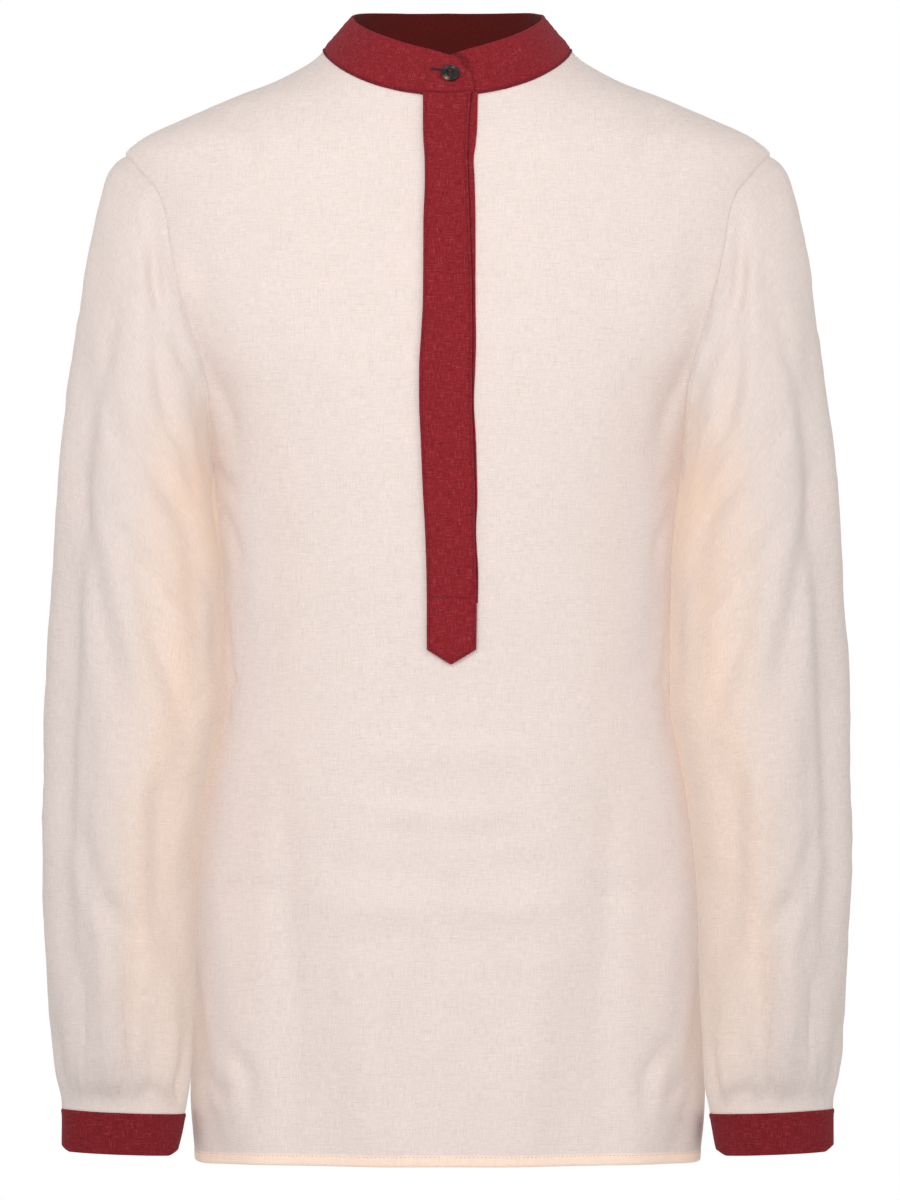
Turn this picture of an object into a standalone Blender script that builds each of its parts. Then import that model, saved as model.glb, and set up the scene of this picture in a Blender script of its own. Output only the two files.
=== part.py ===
"""A long-sleeved linen blouse, filled out as if worn, with nobody in it.

Metres, +Z up. The front faces -Y and the wearer's left side is +X. The origin is midway between the
neck points of the shoulder seams and just below them, where the wearer's shoulders carry it.

The body is worked out from level sections of a filled-out blouse. A point on it is given by its
length around the section from the centre front, in metres, and by its height. Panels, placket and
folds are all laid out with those two measures, as they would be on the cloth.
"""

import math
from collections import namedtuple

import bmesh
import bpy
import numpy as np
from mathutils import Matrix, Vector

# Cloth and seams
CLOTH = 0.0012
BAND = 0.0020
STRIP = 0.0011
SEAM_GAP = 0.0003

# Heights of the body
HEM = -0.693
ARMPIT = -0.262
SLIT_END = -0.345
TIP = -0.0635
NECK_POINT = 0.0035

# Neck opening, and how far the front and the back of it drop below the neck points
NECK_HALF_WIDTH = 0.0780
FRONT_NECK_DROP = 0.0318
BACK_NECK_DROP = 0.009
NECK_DROP_POWER = 1.3

# The shoulder seam lies forward of the ridge by these lengths, at the sleeve, midway and the neck
SEAM_FORWARD_TIP = 0.008
SEAM_FORWARD_MID = 0.013
SEAM_FORWARD_NECK = 0.009
BACK_SPREAD = 0.004

# Placket
SLIT_HALF = 0.0115
FOOT_CORNER = -0.3735
FOOT_TIP = -0.3830
FOOT_TIP_X = 0.0022
UNDER_STRIP_INSET = 0.003

# Cuffs
CUFF_TOP = -0.6640
CUFF_HEIGHT = 0.0248
CUFF_TILT = math.radians(2.3)
CUFF_TOP_X = 0.2028
CUFF_LOW_X = 0.2050
CUFF_MIDDLE_Y = -0.040
CUFF_HALF_WIDTH = 0.0382
CUFF_HALF_DEPTH = 0.0285
CUFF_TAPER = 0.93

# Shares along the sleeve over which the armhole's outline becomes its own, and over which the
# folds begin and end. Within an angle of the body's side, folds and pleats keep only a share.
SLEEVE_SETTLES = 0.34
FOLDS_BEGIN = 0.06
FOLDS_END = 0.02
FLATTENED_ANGLE = 0.7
FLATTENED_FOLDS = 0.25
FLATTENED_PLEATS = 0.4

# The back of the sleeve fills the space beside the body below the armpit: angles from the outer
# line over the front, shares along the sleeve, and the space left beside the body
TUCK_ANGLES = [math.radians(degrees) for degrees in (178, 196, 234, 270)]
TUCK_ALONG = [0.03, 0.09, 0.54, 0.66]
TUCK_GAP = 0.0011

# Collar
COLLAR_TOP_HALF_WIDTH = 0.0598
COLLAR_TOP_FRONT = 0.0610
COLLAR_TOP_BACK = 0.0560
COLLAR_LAP = math.radians(12.5)
COLLAR_CORNER = 0.0125
COLLAR_EASE = math.radians(50)
COLLAR_OVER = 0.0031
COLLAR_UNDER = 0.0006
COLLAR_FOOT_GAP = 0.0007
COLLAR_NARROWING = 0.88

# Button
BUTTON_RADIUS = 0.0058
BUTTON_THICKNESS = 0.0024
BUTTON_X = 0.0016
BUTTON_HEIGHT = -0.0176
BUTTON_HOLE_RADIUS = 0.0007
BUTTON_HOLE_SPACING = 0.0024
# The raised rim's outline from the middle of the back: share of the radius, share of the thickness
BUTTON_PROFILE = [
    (0.0, 0.0), (0.80, 0.0), (0.94, 0.16), (1.0, 0.45), (0.98, 0.80),
    (0.90, 1.0), (0.80, 0.96), (0.70, 0.72), (0.45, 0.66), (0.0, 0.66),
]

Section = namedtuple("Section", "height half_width front back squareness")
BODY = [
    Section(-0.700, 0.1580, 0.1260, 0.1220, 2.4),
    Section(-0.650, 0.1618, 0.1270, 0.1210, 2.4),
    Section(-0.580, 0.1605, 0.1260, 0.1180, 2.4),
    Section(-0.520, 0.1585, 0.1250, 0.1150, 2.4),
    Section(-0.460, 0.1512, 0.1240, 0.1120, 2.4),
    Section(-0.405, 0.1412, 0.1240, 0.1100, 2.4),
    Section(-0.330, 0.1408, 0.1260, 0.1100, 2.4),
    Section(-0.262, 0.1470, 0.1275, 0.1130, 2.35),
    Section(-0.217, 0.1600, 0.1260, 0.1145, 2.3),
    Section(-0.180, 0.1860, 0.1210, 0.1150, 2.2),
    Section(-0.145, 0.1990, 0.1130, 0.1130, 2.15),
    Section(-0.100, 0.2010, 0.1000, 0.1060, 2.1),
    Section(-0.0635, 0.2035, 0.0890, 0.0970, 2.0),
    Section(-0.0535, 0.1937, 0.0855, 0.0940, 2.0),
    Section(-0.0410, 0.1680, 0.0805, 0.0890, 2.0),
    Section(-0.0284, 0.1390, 0.0750, 0.0820, 2.0),
    Section(-0.0158, 0.1070, 0.0690, 0.0740, 2.0),
    Section(0.0, 0.0805, 0.0540, 0.0620, 2.0),
    Section(0.0035, 0.0780, 0.0500, 0.0580, 2.0),
]

Armhole = namedtuple("Armhole", "height half_spread")
ARMHOLE = [
    Armhole(-0.2620, 0.1470),
    Armhole(-0.2420, 0.1484),
    Armhole(-0.2174, 0.1496),
    Armhole(-0.2016, 0.1540),
    Armhole(-0.1777, 0.1620),
    Armhole(-0.1455, 0.1690),
    Armhole(-0.1230, 0.1735),
    Armhole(-0.1033, 0.1765),
    Armhole(-0.0888, 0.1815),
    Armhole(-0.0803, 0.1880),
    Armhole(-0.0725, 0.1950),
    Armhole(-0.0635, 0.2035),
]

Sleeve = namedtuple("Sleeve", "along outer_x outer_height body_gap inner_height middle_y half_depth")
SLEEVE = [
    Sleeve(0.00, 0.2035, -0.0635, 0.0000, -0.262, 0.000, 0.0570),
    Sleeve(0.025, 0.2095, -0.0690, 0.0012, -0.264, -0.001, 0.0580),
    Sleeve(0.05, 0.2150, -0.0800, 0.0024, -0.267, -0.002, 0.0590),
    Sleeve(0.08, 0.2200, -0.0980, 0.0034, -0.272, -0.008, 0.0600),
    Sleeve(0.16, 0.2280, -0.1450, 0.0045, -0.287, -0.018, 0.0610),
    Sleeve(0.28, 0.2360, -0.2050, 0.0036, -0.313, -0.030, 0.0620),
    Sleeve(0.40, 0.2435, -0.2760, 0.0030, -0.352, -0.037, 0.0620),
    Sleeve(0.52, 0.2500, -0.3720, 0.0030, -0.409, -0.040, 0.0620),
    Sleeve(0.64, 0.2528, -0.4500, 0.0030, -0.468, -0.042, 0.0620),
    Sleeve(0.76, 0.2535, -0.5180, 0.0030, -0.526, -0.042, 0.0600),
    Sleeve(0.86, 0.2506, -0.5760, 0.0030, -0.580, -0.042, 0.0560),
    Sleeve(0.94, 0.2460, -0.6240, 0.0032, -0.627, -0.041, 0.0470),
    Sleeve(1.00, 0.2410, -0.6625, 0.0060, -0.6655, -0.040, 0.0285),
]

Strip = namedtuple("Strip", "height left right under_right")
PLACKET = [
    Strip(-0.3735, -0.0124, 0.0176, 0.0180),
    Strip(-0.3450, -0.0124, 0.0178, 0.0184),
    Strip(-0.3330, -0.0125, 0.0176, 0.0192),
    Strip(-0.3100, -0.0130, 0.0173, 0.0180),
    Strip(-0.2500, -0.0150, 0.0164, 0.0172),
    Strip(-0.1985, -0.0170, 0.0159, 0.0169),
    Strip(-0.1420, -0.0154, 0.0152, 0.0169),
    Strip(-0.0945, -0.0148, 0.0132, 0.0167),
    Strip(-0.0640, -0.0144, 0.0122, 0.0170),
    Strip(-0.0235, -0.0148, 0.0148, 0.0180),
]

CollarEdge = namedtuple("CollarEdge", "degrees top_height")
COLLAR = [
    CollarEdge(-14.0, -0.0075),
    CollarEdge(0.0, -0.0035),
    CollarEdge(8.4, -0.0005),
    CollarEdge(31.0, 0.0064),
    CollarEdge(54.0, 0.0139),
    CollarEdge(75.0, 0.0205),
    CollarEdge(90.0, 0.0248),
    CollarEdge(130.0, 0.0290),
    CollarEdge(180.0, 0.0300),
]

# A fold runs along the cloth from its start to its end. Around is metres from the centre front
# on the front, metres from the centre back on the back, and degrees from the outer line over the
# front on a sleeve. Depth is outward, so a trough is below 0.
Fold = namedtuple("Fold", "start_around start_along end_around end_along width depth")
FRONT_FOLDS = [
    Fold(0.215, -0.560, 0.160, -0.690, 0.015, -0.0030),
    Fold(0.160, -0.500, 0.118, -0.720, 0.016, 0.0022),
    Fold(0.120, -0.420, 0.075, -0.720, 0.022, -0.0026),
    Fold(0.070, -0.395, 0.035, -0.720, 0.020, 0.0020),
    Fold(0.165, -0.105, 0.150, -0.270, 0.014, -0.0022),
    Fold(0.185, -0.255, 0.135, -0.400, 0.018, -0.0020),
]
BACK_FOLDS = [
    Fold(0.190, -0.400, 0.165, -0.720, 0.022, 0.0026),
    Fold(0.140, -0.360, 0.115, -0.720, 0.020, -0.0032),
    Fold(0.080, -0.300, 0.070, -0.720, 0.024, 0.0028),
    Fold(0.030, -0.260, 0.025, -0.720, 0.020, -0.0022),
    Fold(0.150, -0.110, 0.130, -0.300, 0.018, -0.0022),
]
SLEEVE_FOLDS = [
    Fold(46, 0.05, 42, 0.92, 9, -0.0030),
    Fold(58, 0.50, 66, 0.86, 8, -0.0022),
    Fold(74, 0.76, 98, 0.85, 9, -0.0032),
    Fold(97, 0.83, 92, 1.04, 8, -0.0026),
    Fold(112, 0.58, 124, 0.84, 10, -0.0024),
    Fold(128, 0.12, 136, 0.52, 13, -0.0026),
    Fold(20, 0.24, 22, 0.90, 10, 0.0016),
    Fold(-34, 0.10, -48, 0.80, 11, -0.0030),
    Fold(-80, 0.30, -74, 0.95, 11, 0.0024),
    Fold(-108, 0.15, -122, 0.75, 13, -0.0028),
    Fold(-70, 0.74, -98, 0.90, 11, -0.0028),
]
CUFF_PLEATS = 9
CUFF_PLEAT_DEPTH = 0.0018
CUFF_PLEAT_REACH = 0.16
CUFF_PLEAT_RISE = 1.4
CUFF_PLEAT_WANDER = 0.9

# The shares of a fold's length over which it deepens and fades, and where it has faded out
FOLD_DEEPENS = 0.25
FOLD_FADES = 0.3
FOLD_GONE = 1.15
SIDE_WITHOUT_FOLDS = 0.03

# Steps for working out a normal: around and up the body, round and along a sleeve or the collar
BODY_STEPS = (0.0008, 0.0008)
SLEEVE_STEPS = (-0.01, -0.004)
COLLAR_STEPS = (0.01, -0.05)
SHARP_EDGE = math.radians(50)

# Mesh counts
SECTION_STEPS = 120
CENTRE_COLUMNS = 2
NECK_COLUMNS = 6
SHOULDER_COLUMNS = 8
BELOW_SLIT_ROWS = 9
SLIT_ROWS = 3
CHEST_ROWS = 15
BACK_NECK_COLUMNS = 8
FOOT_ROWS = 2
SLEEVE_ROWS = (
    0, 0.022, 0.045, 0.075, 0.115, 0.165, 0.22, 0.28, 0.34, 0.40, 0.46, 0.52,
    0.58, 0.64, 0.70, 0.76, 0.81, 0.85, 0.885, 0.915, 0.94, 0.962, 0.982, 1.0,
)
COLLAR_AROUND = 60
COLLAR_UP = 3
COLLAR_END_CROWDING = 0.65
CUFF_UP = 2
STRIP_ACROSS = 4
BUTTON_SIDES = 32
HOLE_SIDES = 10

LINEN = ("cream_linen", (0.86, 0.77, 0.71), 0.85)
RED_LINEN = ("red_linen", (0.29, 0.021, 0.028), 0.80)
HORN = ("dark_horn", (0.022, 0.017, 0.015), 0.30)


def column(rows, name):
    return np.array([getattr(row, name) for row in rows], float)


def eased(knots, values, at):
    """Values between the knots, on a cubic that doesn't overshoot them."""
    x, y = np.asarray(knots, float), np.asarray(values, float)
    rise = np.diff(y) / np.diff(x)
    total = rise[1:] + rise[:-1]
    same_way = rise[1:] * rise[:-1] > 0
    middle = np.where(same_way, 2 * rise[1:] * rise[:-1] / np.where(same_way, total, 1), 0)
    slope = np.concatenate([rise[:1], middle, rise[-1:]])
    at = np.clip(at, x[0], x[-1])
    i = np.clip(np.searchsorted(x, at, side="right") - 1, 0, len(x) - 2)
    step = x[i + 1] - x[i]
    t = (at - x[i]) / step
    return (
        y[i] * (1 + 2 * t) * (1 - t) ** 2
        + slope[i] * step * t * (1 - t) ** 2
        + y[i + 1] * t * t * (3 - 2 * t)
        + slope[i + 1] * step * t * t * (t - 1)
    )


def from_table(rows, name, at, key="height"):
    return eased(column(rows, key), column(rows, name), at)


def smooth(t):
    t = np.clip(t, 0, 1)
    return t * t * (3 - 2 * t)


def half_section(height):
    """Half of each level section, centre front to centre back: x, y and the length so far."""
    height = np.asarray(height, float).reshape(-1, 1)
    width, front, back, square = (
        from_table(BODY, name, height) for name in ("half_width", "front", "back", "squareness")
    )
    angle = np.linspace(-math.pi / 2, math.pi / 2, 2 * SECTION_STEPS + 1)
    power = 2 / square
    x = width * np.clip(np.cos(angle), 0, 1) ** power
    y = np.where(angle < 0, -front, back) * np.abs(np.sin(angle)) ** power
    step = np.hypot(np.diff(x, axis=1), np.diff(y, axis=1))
    return x, y, np.concatenate([np.zeros_like(height), np.cumsum(step, axis=1)], axis=1)


def to_side(height):
    """The length from the centre front to the side line."""
    return half_section(height)[2][:, SECTION_STEPS].reshape(np.shape(height))


def to_back(height):
    """The length from the centre front to the centre back."""
    return half_section(height)[2][:, -1].reshape(np.shape(height))


def around_at(x_wanted, height, on_back=False):
    """The length around at which the section reaches a distance from the middle."""
    found = []
    for wanted, level in zip(np.ravel(x_wanted), np.ravel(height)):
        x, _, length = (row[0] for row in half_section(level))
        if on_back:
            found.append(np.interp(wanted, x[: SECTION_STEPS - 1 : -1], length[: SECTION_STEPS - 1 : -1]))
        else:
            found.append(np.interp(wanted, x[: SECTION_STEPS + 1], length[: SECTION_STEPS + 1]))
    return np.array(found).reshape(np.shape(x_wanted))


def fold_height(folds, around, along):
    """The sum of the soft folds at each point."""
    total = np.zeros(np.shape(around))
    for fold in folds:
        run = fold.end_along - fold.start_along
        share = (along - fold.start_along) / run
        middle = fold.start_around + share * (fold.end_around - fold.start_around)
        across = np.exp(-(((around - middle) / fold.width) ** 2))
        faded = smooth(share / FOLD_DEEPENS) * smooth((FOLD_GONE - share) / FOLD_FADES)
        total += fold.depth * across * faded
    return total


def bare_body(around, height):
    """The body's surface without folds, for signed lengths around."""
    around, height = np.broadcast_arrays(np.asarray(around, float), np.asarray(height, float))
    x, y, length = half_section(height)
    wanted = np.abs(around).reshape(-1, 1)
    i = np.clip((length <= wanted).sum(axis=1) - 1, 0, length.shape[1] - 2)
    row = np.arange(len(i))
    share = (wanted[:, 0] - length[row, i]) / np.maximum(length[row, i + 1] - length[row, i], 1e-9)
    px = x[row, i] + share * (x[row, i + 1] - x[row, i])
    py = y[row, i] + share * (y[row, i + 1] - y[row, i])
    sign = np.where(np.ravel(around) < 0, -1.0, 1.0)
    return np.stack([px * sign, py, np.ravel(height)], axis=1).reshape(around.shape + (3,))


def unit(vectors):
    return vectors / np.maximum(np.linalg.norm(vectors, axis=-1, keepdims=True), 1e-12)


def surface_normal(surface, a, b, step_a, step_b):
    """The outward normal of a surface of two measures, from small steps along each."""
    along_a = surface(a + step_a, b) - surface(a - step_a, b)
    along_b = surface(a, b) - surface(a, b - step_b)
    return unit(np.cross(along_a, along_b))


def bare_normal(around, height):
    return surface_normal(bare_body, around, height, *BODY_STEPS)


def body_folds(around, height):
    """Folds of the front and the back, faded out towards the side line."""
    side, back = to_side(height), to_back(height)
    away = np.abs(around)
    fade = smooth(np.abs(away - side) / SIDE_WITHOUT_FOLDS)
    front = fold_height(FRONT_FOLDS, away, height)
    behind = fold_height(BACK_FOLDS, back - away, height)
    return np.where(away < side, front, behind) * fade


def body(around, height, out=0.0):
    """The blouse's body with its folds, moved out by a distance."""
    around, height = np.broadcast_arrays(np.asarray(around, float), np.asarray(height, float))
    lift = (body_folds(around, height) + out)[..., None]
    return bare_body(around, height) + bare_normal(around, height) * lift


def body_normal(around, height):
    return surface_normal(body, around, height, *BODY_STEPS)


def neck_ring(angle):
    """The neckline at an angle from the centre front: length around, and height."""
    facing = np.cos(angle)
    drop = np.where(facing > 0, FRONT_NECK_DROP, BACK_NECK_DROP)
    height = NECK_POINT - drop * np.abs(facing) ** NECK_DROP_POWER
    half = from_table(BODY, "half_width", height)
    x = np.minimum(NECK_HALF_WIDTH * np.abs(np.sin(angle)), half)
    front = around_at(x, height)
    behind = around_at(x, height, on_back=True)
    return np.where(facing > 0, front, behind), height


def measured(line):
    """The length so far at each row of a line of the body."""
    step = np.linalg.norm(np.diff(bare_body(line[:, 0], line[:, 1]), axis=0), axis=1)
    return np.concatenate([[0], np.cumsum(step)])


def resampled(line, count):
    """A line of the body again, with its rows evenly spaced on the cloth."""
    length = measured(line)
    at = np.linspace(0, length[-1], count)
    return np.stack([np.interp(at, length, line[:, k]) for k in range(2)], axis=1)


def armhole_line(on_back):
    """The armhole from the armpit to the shoulder ridge, as rows of length around and height."""
    share = (1 - np.cos(np.linspace(0, math.pi, 161))) / 2
    height = ARMPIT + share * (TIP - ARMPIT)
    extra = BACK_SPREAD * np.sin(math.pi * share) if on_back else 0.0
    half = from_table(BODY, "half_width", height)
    x = np.minimum(from_table(ARMHOLE, "half_spread", height) + extra, half)
    around = around_at(x, height, on_back)
    around[[0, -1]] = to_side(height[[0, -1]])
    return np.stack([around, height], axis=1)


def shoulder_corner():
    """Where the shoulder seam meets the armhole, forward of the ridge, and the armhole each way."""
    line = armhole_line(on_back=False)
    length = measured(line)
    below = length[-1] - length >= SEAM_FORWARD_TIP
    return line[below][-1], line[below], line[~below]


def shoulder_seam(count):
    """The seam from the neckline to the armhole, as rows of length around and height."""
    corner = shoulder_corner()[0]
    angles = np.linspace(math.radians(60), math.radians(90), 121)
    around, height = neck_ring(angles)
    at_neck = np.argmax(to_side(height) - around <= SEAM_FORWARD_NECK)
    top = height[at_neck]
    levels = np.linspace(top, corner[1], 81)
    middle = (top + corner[1]) / 2
    forward_tip = to_side(corner[1]) - corner[0]
    forward = eased(
        [corner[1], middle, top], [forward_tip, SEAM_FORWARD_MID, SEAM_FORWARD_NECK], levels
    )
    line = np.stack([to_side(levels) - forward, levels], axis=1)
    return resampled(line, count), angles[at_neck]


def panel_rows():
    """Row heights below the armpit, with one on the end of the slit."""
    low = np.linspace(HEM, SLIT_END, BELOW_SLIT_ROWS + 1)
    high = np.linspace(SLIT_END, ARMPIT, SLIT_ROWS + 1)
    return np.concatenate([low, high[1:]])


def blended(inner_line, outer_line, top_line, shares):
    """Rows of cloth between an inner line and an outer line, easing up into the top line."""
    low = panel_rows()
    high_rows = len(inner_line) - len(low)
    rise = smooth(np.concatenate([np.zeros(len(low)), np.arange(1, high_rows + 1) / high_rows]))
    rows = inner_line[:, None] * (1 - shares)[None, :, None] + outer_line[:, None] * shares[None, :, None]
    straight = top_line[0] * (1 - shares)[:, None] + top_line[-1] * shares[:, None]
    return rows + rise[:, None, None] * (top_line - straight)[None]


def front_half():
    """The right half of the front as a grid of length around and height, from the slit outwards."""
    seam, neck_angle = shoulder_seam(SHOULDER_COLUMNS + 1)
    slit_angle = math.asin(SLIT_HALF / NECK_HALF_WIDTH)
    neck = np.stack(neck_ring(np.linspace(slit_angle, neck_angle, 81)), axis=1)
    neck = resampled(neck, NECK_COLUMNS + 1)
    top = np.concatenate([neck[:-1], seam])
    low = panel_rows()
    armhole = resampled(shoulder_corner()[1], CHEST_ROWS + 1)
    outer = np.concatenate([np.stack([to_side(low), low], axis=1), armhole[1:]])
    rise = np.linspace(ARMPIT, top[0, 1], CHEST_ROWS + 1)[1:]
    inner_heights = np.concatenate([low, rise])
    inner = np.stack([np.full(len(inner_heights), SLIT_HALF), inner_heights], axis=1)
    inner[-1, 0] = top[0, 0]
    return blended(inner, outer, top, measured(top) / measured(top)[-1])


def back_half():
    """The right half of the back as a grid, from the centre back outwards."""
    seam, neck_angle = shoulder_seam(SHOULDER_COLUMNS + 1)
    neck = np.stack(neck_ring(np.linspace(math.pi, neck_angle, 121)), axis=1)
    neck = resampled(neck, BACK_NECK_COLUMNS + 1)
    top = np.concatenate([neck[:-1], seam])
    low = panel_rows()
    corner, _, over_ridge = shoulder_corner()
    armhole = np.concatenate([armhole_line(on_back=True), over_ridge[-2::-1], [corner]])
    armhole = resampled(armhole, CHEST_ROWS + 1)
    outer = np.concatenate([np.stack([to_side(low), low], axis=1), armhole[1:]])
    rise = np.linspace(ARMPIT, top[0, 1], CHEST_ROWS + 1)[1:]
    heights = np.concatenate([low, rise])
    inner = np.stack([to_back(heights), heights], axis=1)
    # Lengths are blended from the centre back, where the columns start.
    from_back = [flipped(line) for line in (inner, outer, top)]
    return flipped(blended(*from_back, measured(top) / measured(top)[-1]))


def flipped(grid):
    """Lengths from the centre front as lengths from the centre back, or the other way."""
    return np.stack([to_back(grid[..., 1]) - grid[..., 0], grid[..., 1]], axis=-1)


def pulled_in(points):
    """The grid's points with its edges drawn in by half a seam gap."""
    moved = points.copy()
    for edge, beside in ((0, 1), (-1, -2)):
        moved[edge] += unit(points[beside] - points[edge]) * SEAM_GAP / 2
        moved[:, edge] += unit(points[:, beside] - points[:, edge]) * SEAM_GAP / 2
    return moved


def make_wall(name, outer, inner, look, closed_across=False, cells=None):
    """One closed solid from an outer and an inner grid of points, with a rim round its open edges."""
    rows, across = outer.shape[:2]
    spans = across if closed_across else across - 1
    if cells is None:
        cells = np.ones((rows - 1, spans), bool)
    mesh = bmesh.new()
    found = {}

    def corner(side, i, j):
        key = (side, i, j % across)
        if key not in found:
            found[key] = mesh.verts.new((outer, inner)[side][key[1], key[2]])
        return found[key]

    def inside(i, j):
        if closed_across:
            j %= across
        return 0 <= i < rows - 1 and 0 <= j < spans and cells[i, j]

    for i in range(rows - 1):
        for j in range(spans):
            if not cells[i, j]:
                continue
            ring = [(i, j), (i, j + 1), (i + 1, j + 1), (i + 1, j)]
            mesh.faces.new([corner(0, *p) for p in ring])
            mesh.faces.new([corner(1, *p) for p in reversed(ring)])
            beyond = [(i - 1, j), (i, j + 1), (i + 1, j), (i, j - 1)]
            for k, cell in enumerate(beyond):
                if not inside(*cell):
                    a, b = ring[k], ring[(k + 1) % 4]
                    mesh.faces.new([corner(0, *b), corner(0, *a), corner(1, *a), corner(1, *b)])
    bmesh.ops.recalc_face_normals(mesh, faces=mesh.faces)
    return add_object(name, mesh, look)


def add_object(name, mesh, look):
    data = bpy.data.meshes.new(name)
    mesh.to_mesh(data)
    mesh.free()
    data.shade_smooth()
    data.set_sharp_from_angle(angle=SHARP_EDGE)
    data.materials.append(material(*look))
    made = bpy.data.objects.new(name, data)
    bpy.context.collection.objects.link(made)
    return made


def material(name, colour, roughness):
    made = bpy.data.materials.get(name)
    if made is None:
        made = bpy.data.materials.new(name)
        made.use_nodes = True
        shader = made.node_tree.nodes["Principled BSDF"]
        shader.inputs["Base Color"].default_value = (*colour, 1)
        shader.inputs["Roughness"].default_value = roughness
        shader.inputs["Metallic"].default_value = 0.0
    return made


def mirrored(grid):
    """The same grid on the wearer's right side."""
    other = grid.copy()
    other[..., 0] *= -1
    return other


def whole_grid(half, centre):
    """Both halves of a panel, side by side, with the columns between them."""
    return np.concatenate([mirrored(half)[:, ::-1], centre, half], axis=1)


def panel_walls(grid):
    normal = body_normal(grid[..., 0], grid[..., 1])
    outer = pulled_in(body(grid[..., 0], grid[..., 1]))
    return outer, outer - normal * CLOTH


def make_front():
    half = front_half()
    centre_shares = np.linspace(-1, 1, CENTRE_COLUMNS + 1)[1:-1]
    centre = np.stack([half[:, 0] * [share, 1] for share in centre_shares], axis=1)
    grid = whole_grid(half, centre)
    outer, inner = panel_walls(grid)
    cells = np.ones((grid.shape[0] - 1, grid.shape[1] - 1), bool)
    first = half.shape[1] - 1
    cells[BELOW_SLIT_ROWS:, first : first + CENTRE_COLUMNS] = False
    return make_wall("front", outer, inner, LINEN, cells=cells)


def make_back():
    half = back_half()
    grid = np.concatenate([half[:, ::-1], mirrored(half)[:, 1:]], axis=1)
    outer, inner = panel_walls(grid)
    return make_wall("back", outer, inner, LINEN)


def armhole_ring(angle):
    """The armhole's point and the body's normal there, by angle from the ridge over the front."""
    down, up = armhole_line(on_back=False)[::-1], armhole_line(on_back=True)
    turn = np.mod(angle, 2 * math.pi) / math.pi
    rows = []
    for k in range(2):
        in_front = np.interp(turn, measured(down) / measured(down)[-1], down[:, k])
        behind = np.interp(turn - 1, measured(up) / measured(up)[-1], up[:, k])
        rows.append(np.where(turn < 1, in_front, behind))
    return body(*rows), body_normal(*rows)


def sleeve_angles():
    """The angles of the sleeve's lines, one on each corner of the panels' armhole edges."""
    front = measured(armhole_line(on_back=False))[-1]
    back = measured(armhole_line(on_back=True))[-1]
    seam = math.pi * SEAM_FORWARD_TIP / front
    in_front = np.linspace(seam, math.pi, CHEST_ROWS + 1)
    length = np.linspace(0, back + SEAM_FORWARD_TIP, CHEST_ROWS + 1)
    over = np.clip(length - back, 0, None)
    behind = math.pi * (1 + np.minimum(length, back) / back + over / front)
    return np.concatenate([in_front[:-1], behind[:-1]])


def beside_body(y, height):
    """How far out the body reaches at a distance behind the middle."""
    width, front, back, square = (
        from_table(BODY, name, height) for name in ("half_width", "front", "back", "squareness")
    )
    share = np.clip(np.abs(y) / np.where(y < 0, front, back), 0, 1)
    return width * (1 - share**square) ** (1 / square)


def sleeve_ring(angle, along):
    """The sleeve's plain section: outer line at angle 0, front at 90 degrees."""
    outer_x, outer_height, body_gap, inner_height, middle_y, half_depth = (
        from_table(SLEEVE, name, along, key="along") for name in Sleeve._fields[1:]
    )
    inner_x = beside_body(middle_y, inner_height) + body_gap
    outer = np.stack([outer_x, middle_y, outer_height], axis=-1)
    inner = np.stack([inner_x, middle_y, inner_height], axis=-1)
    middle, reach = (outer + inner) / 2, (outer - inner) / 2
    turn = np.sin(angle)[..., None] * np.array([0, -1.0, 0])
    return middle + reach * np.cos(angle)[..., None] + half_depth[..., None] * turn


def sleeve_lift(angle, along):
    """Folds along the sleeve, and the gathers where it is drawn into the cuff."""
    degrees = np.degrees(np.mod(angle + math.pi, 2 * math.pi) - math.pi)
    folds = fold_height(SLEEVE_FOLDS, degrees, along)
    folds *= smooth(along / FOLDS_BEGIN) * smooth((1 - along) / FOLDS_END)
    drawn_in = smooth((along - 1 + CUFF_PLEAT_REACH) / CUFF_PLEAT_REACH * CUFF_PLEAT_RISE)
    drawn_in *= smooth((1 - along) / FOLDS_END)
    waves = np.sin(CUFF_PLEATS * angle + CUFF_PLEAT_WANDER * np.sin(2 * angle))
    pleats = CUFF_PLEAT_DEPTH * waves * drawn_in
    free = smooth((math.pi - np.abs(np.radians(degrees))) / FLATTENED_ANGLE)
    folds *= FLATTENED_FOLDS + (1 - FLATTENED_FOLDS) * free
    return folds + pleats * (FLATTENED_PLEATS + (1 - FLATTENED_PLEATS) * free)


ARMHOLE_ANGLES = np.linspace(0, 2 * math.pi, 181)
ARMHOLE_POINTS, ARMHOLE_FACING = armhole_ring(ARMHOLE_ANGLES[:-1])


def armhole_at(angle, values):
    ring = np.concatenate([values, values[:1]])
    turn = np.mod(angle, 2 * math.pi)
    return np.stack([np.interp(turn, ARMHOLE_ANGLES, ring[:, k]) for k in range(3)], axis=-1)


def between(bounds, at):
    """Rises from 0 to 1 between the first two bounds and falls again between the last two."""
    start, full, falling, end = bounds
    return smooth((at - start) / (full - start)) * smooth((end - at) / (end - falling))


def tucked(points, angle, along):
    """The sleeve's points, with the back of it drawn in beside the body."""
    space = points[..., 0] - beside_body(points[..., 1], points[..., 2]) - TUCK_GAP
    drawn = between(TUCK_ANGLES, np.mod(angle, 2 * math.pi)) * between(TUCK_ALONG, along)
    moved = points.copy()
    moved[..., 0] -= np.clip(space, 0, None) * drawn
    return moved


def bare_sleeve(angle, along):
    """The sleeve without folds, from the armhole's outline to its own."""
    angle, along = np.broadcast_arrays(np.asarray(angle, float), np.asarray(along, float))
    from_armhole = armhole_at(angle, ARMHOLE_POINTS) - sleeve_ring(angle, np.zeros(angle.shape))
    fade = (1 - smooth(along / SLEEVE_SETTLES))[..., None]
    return tucked(sleeve_ring(angle, along) + from_armhole * fade, angle, along)


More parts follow.
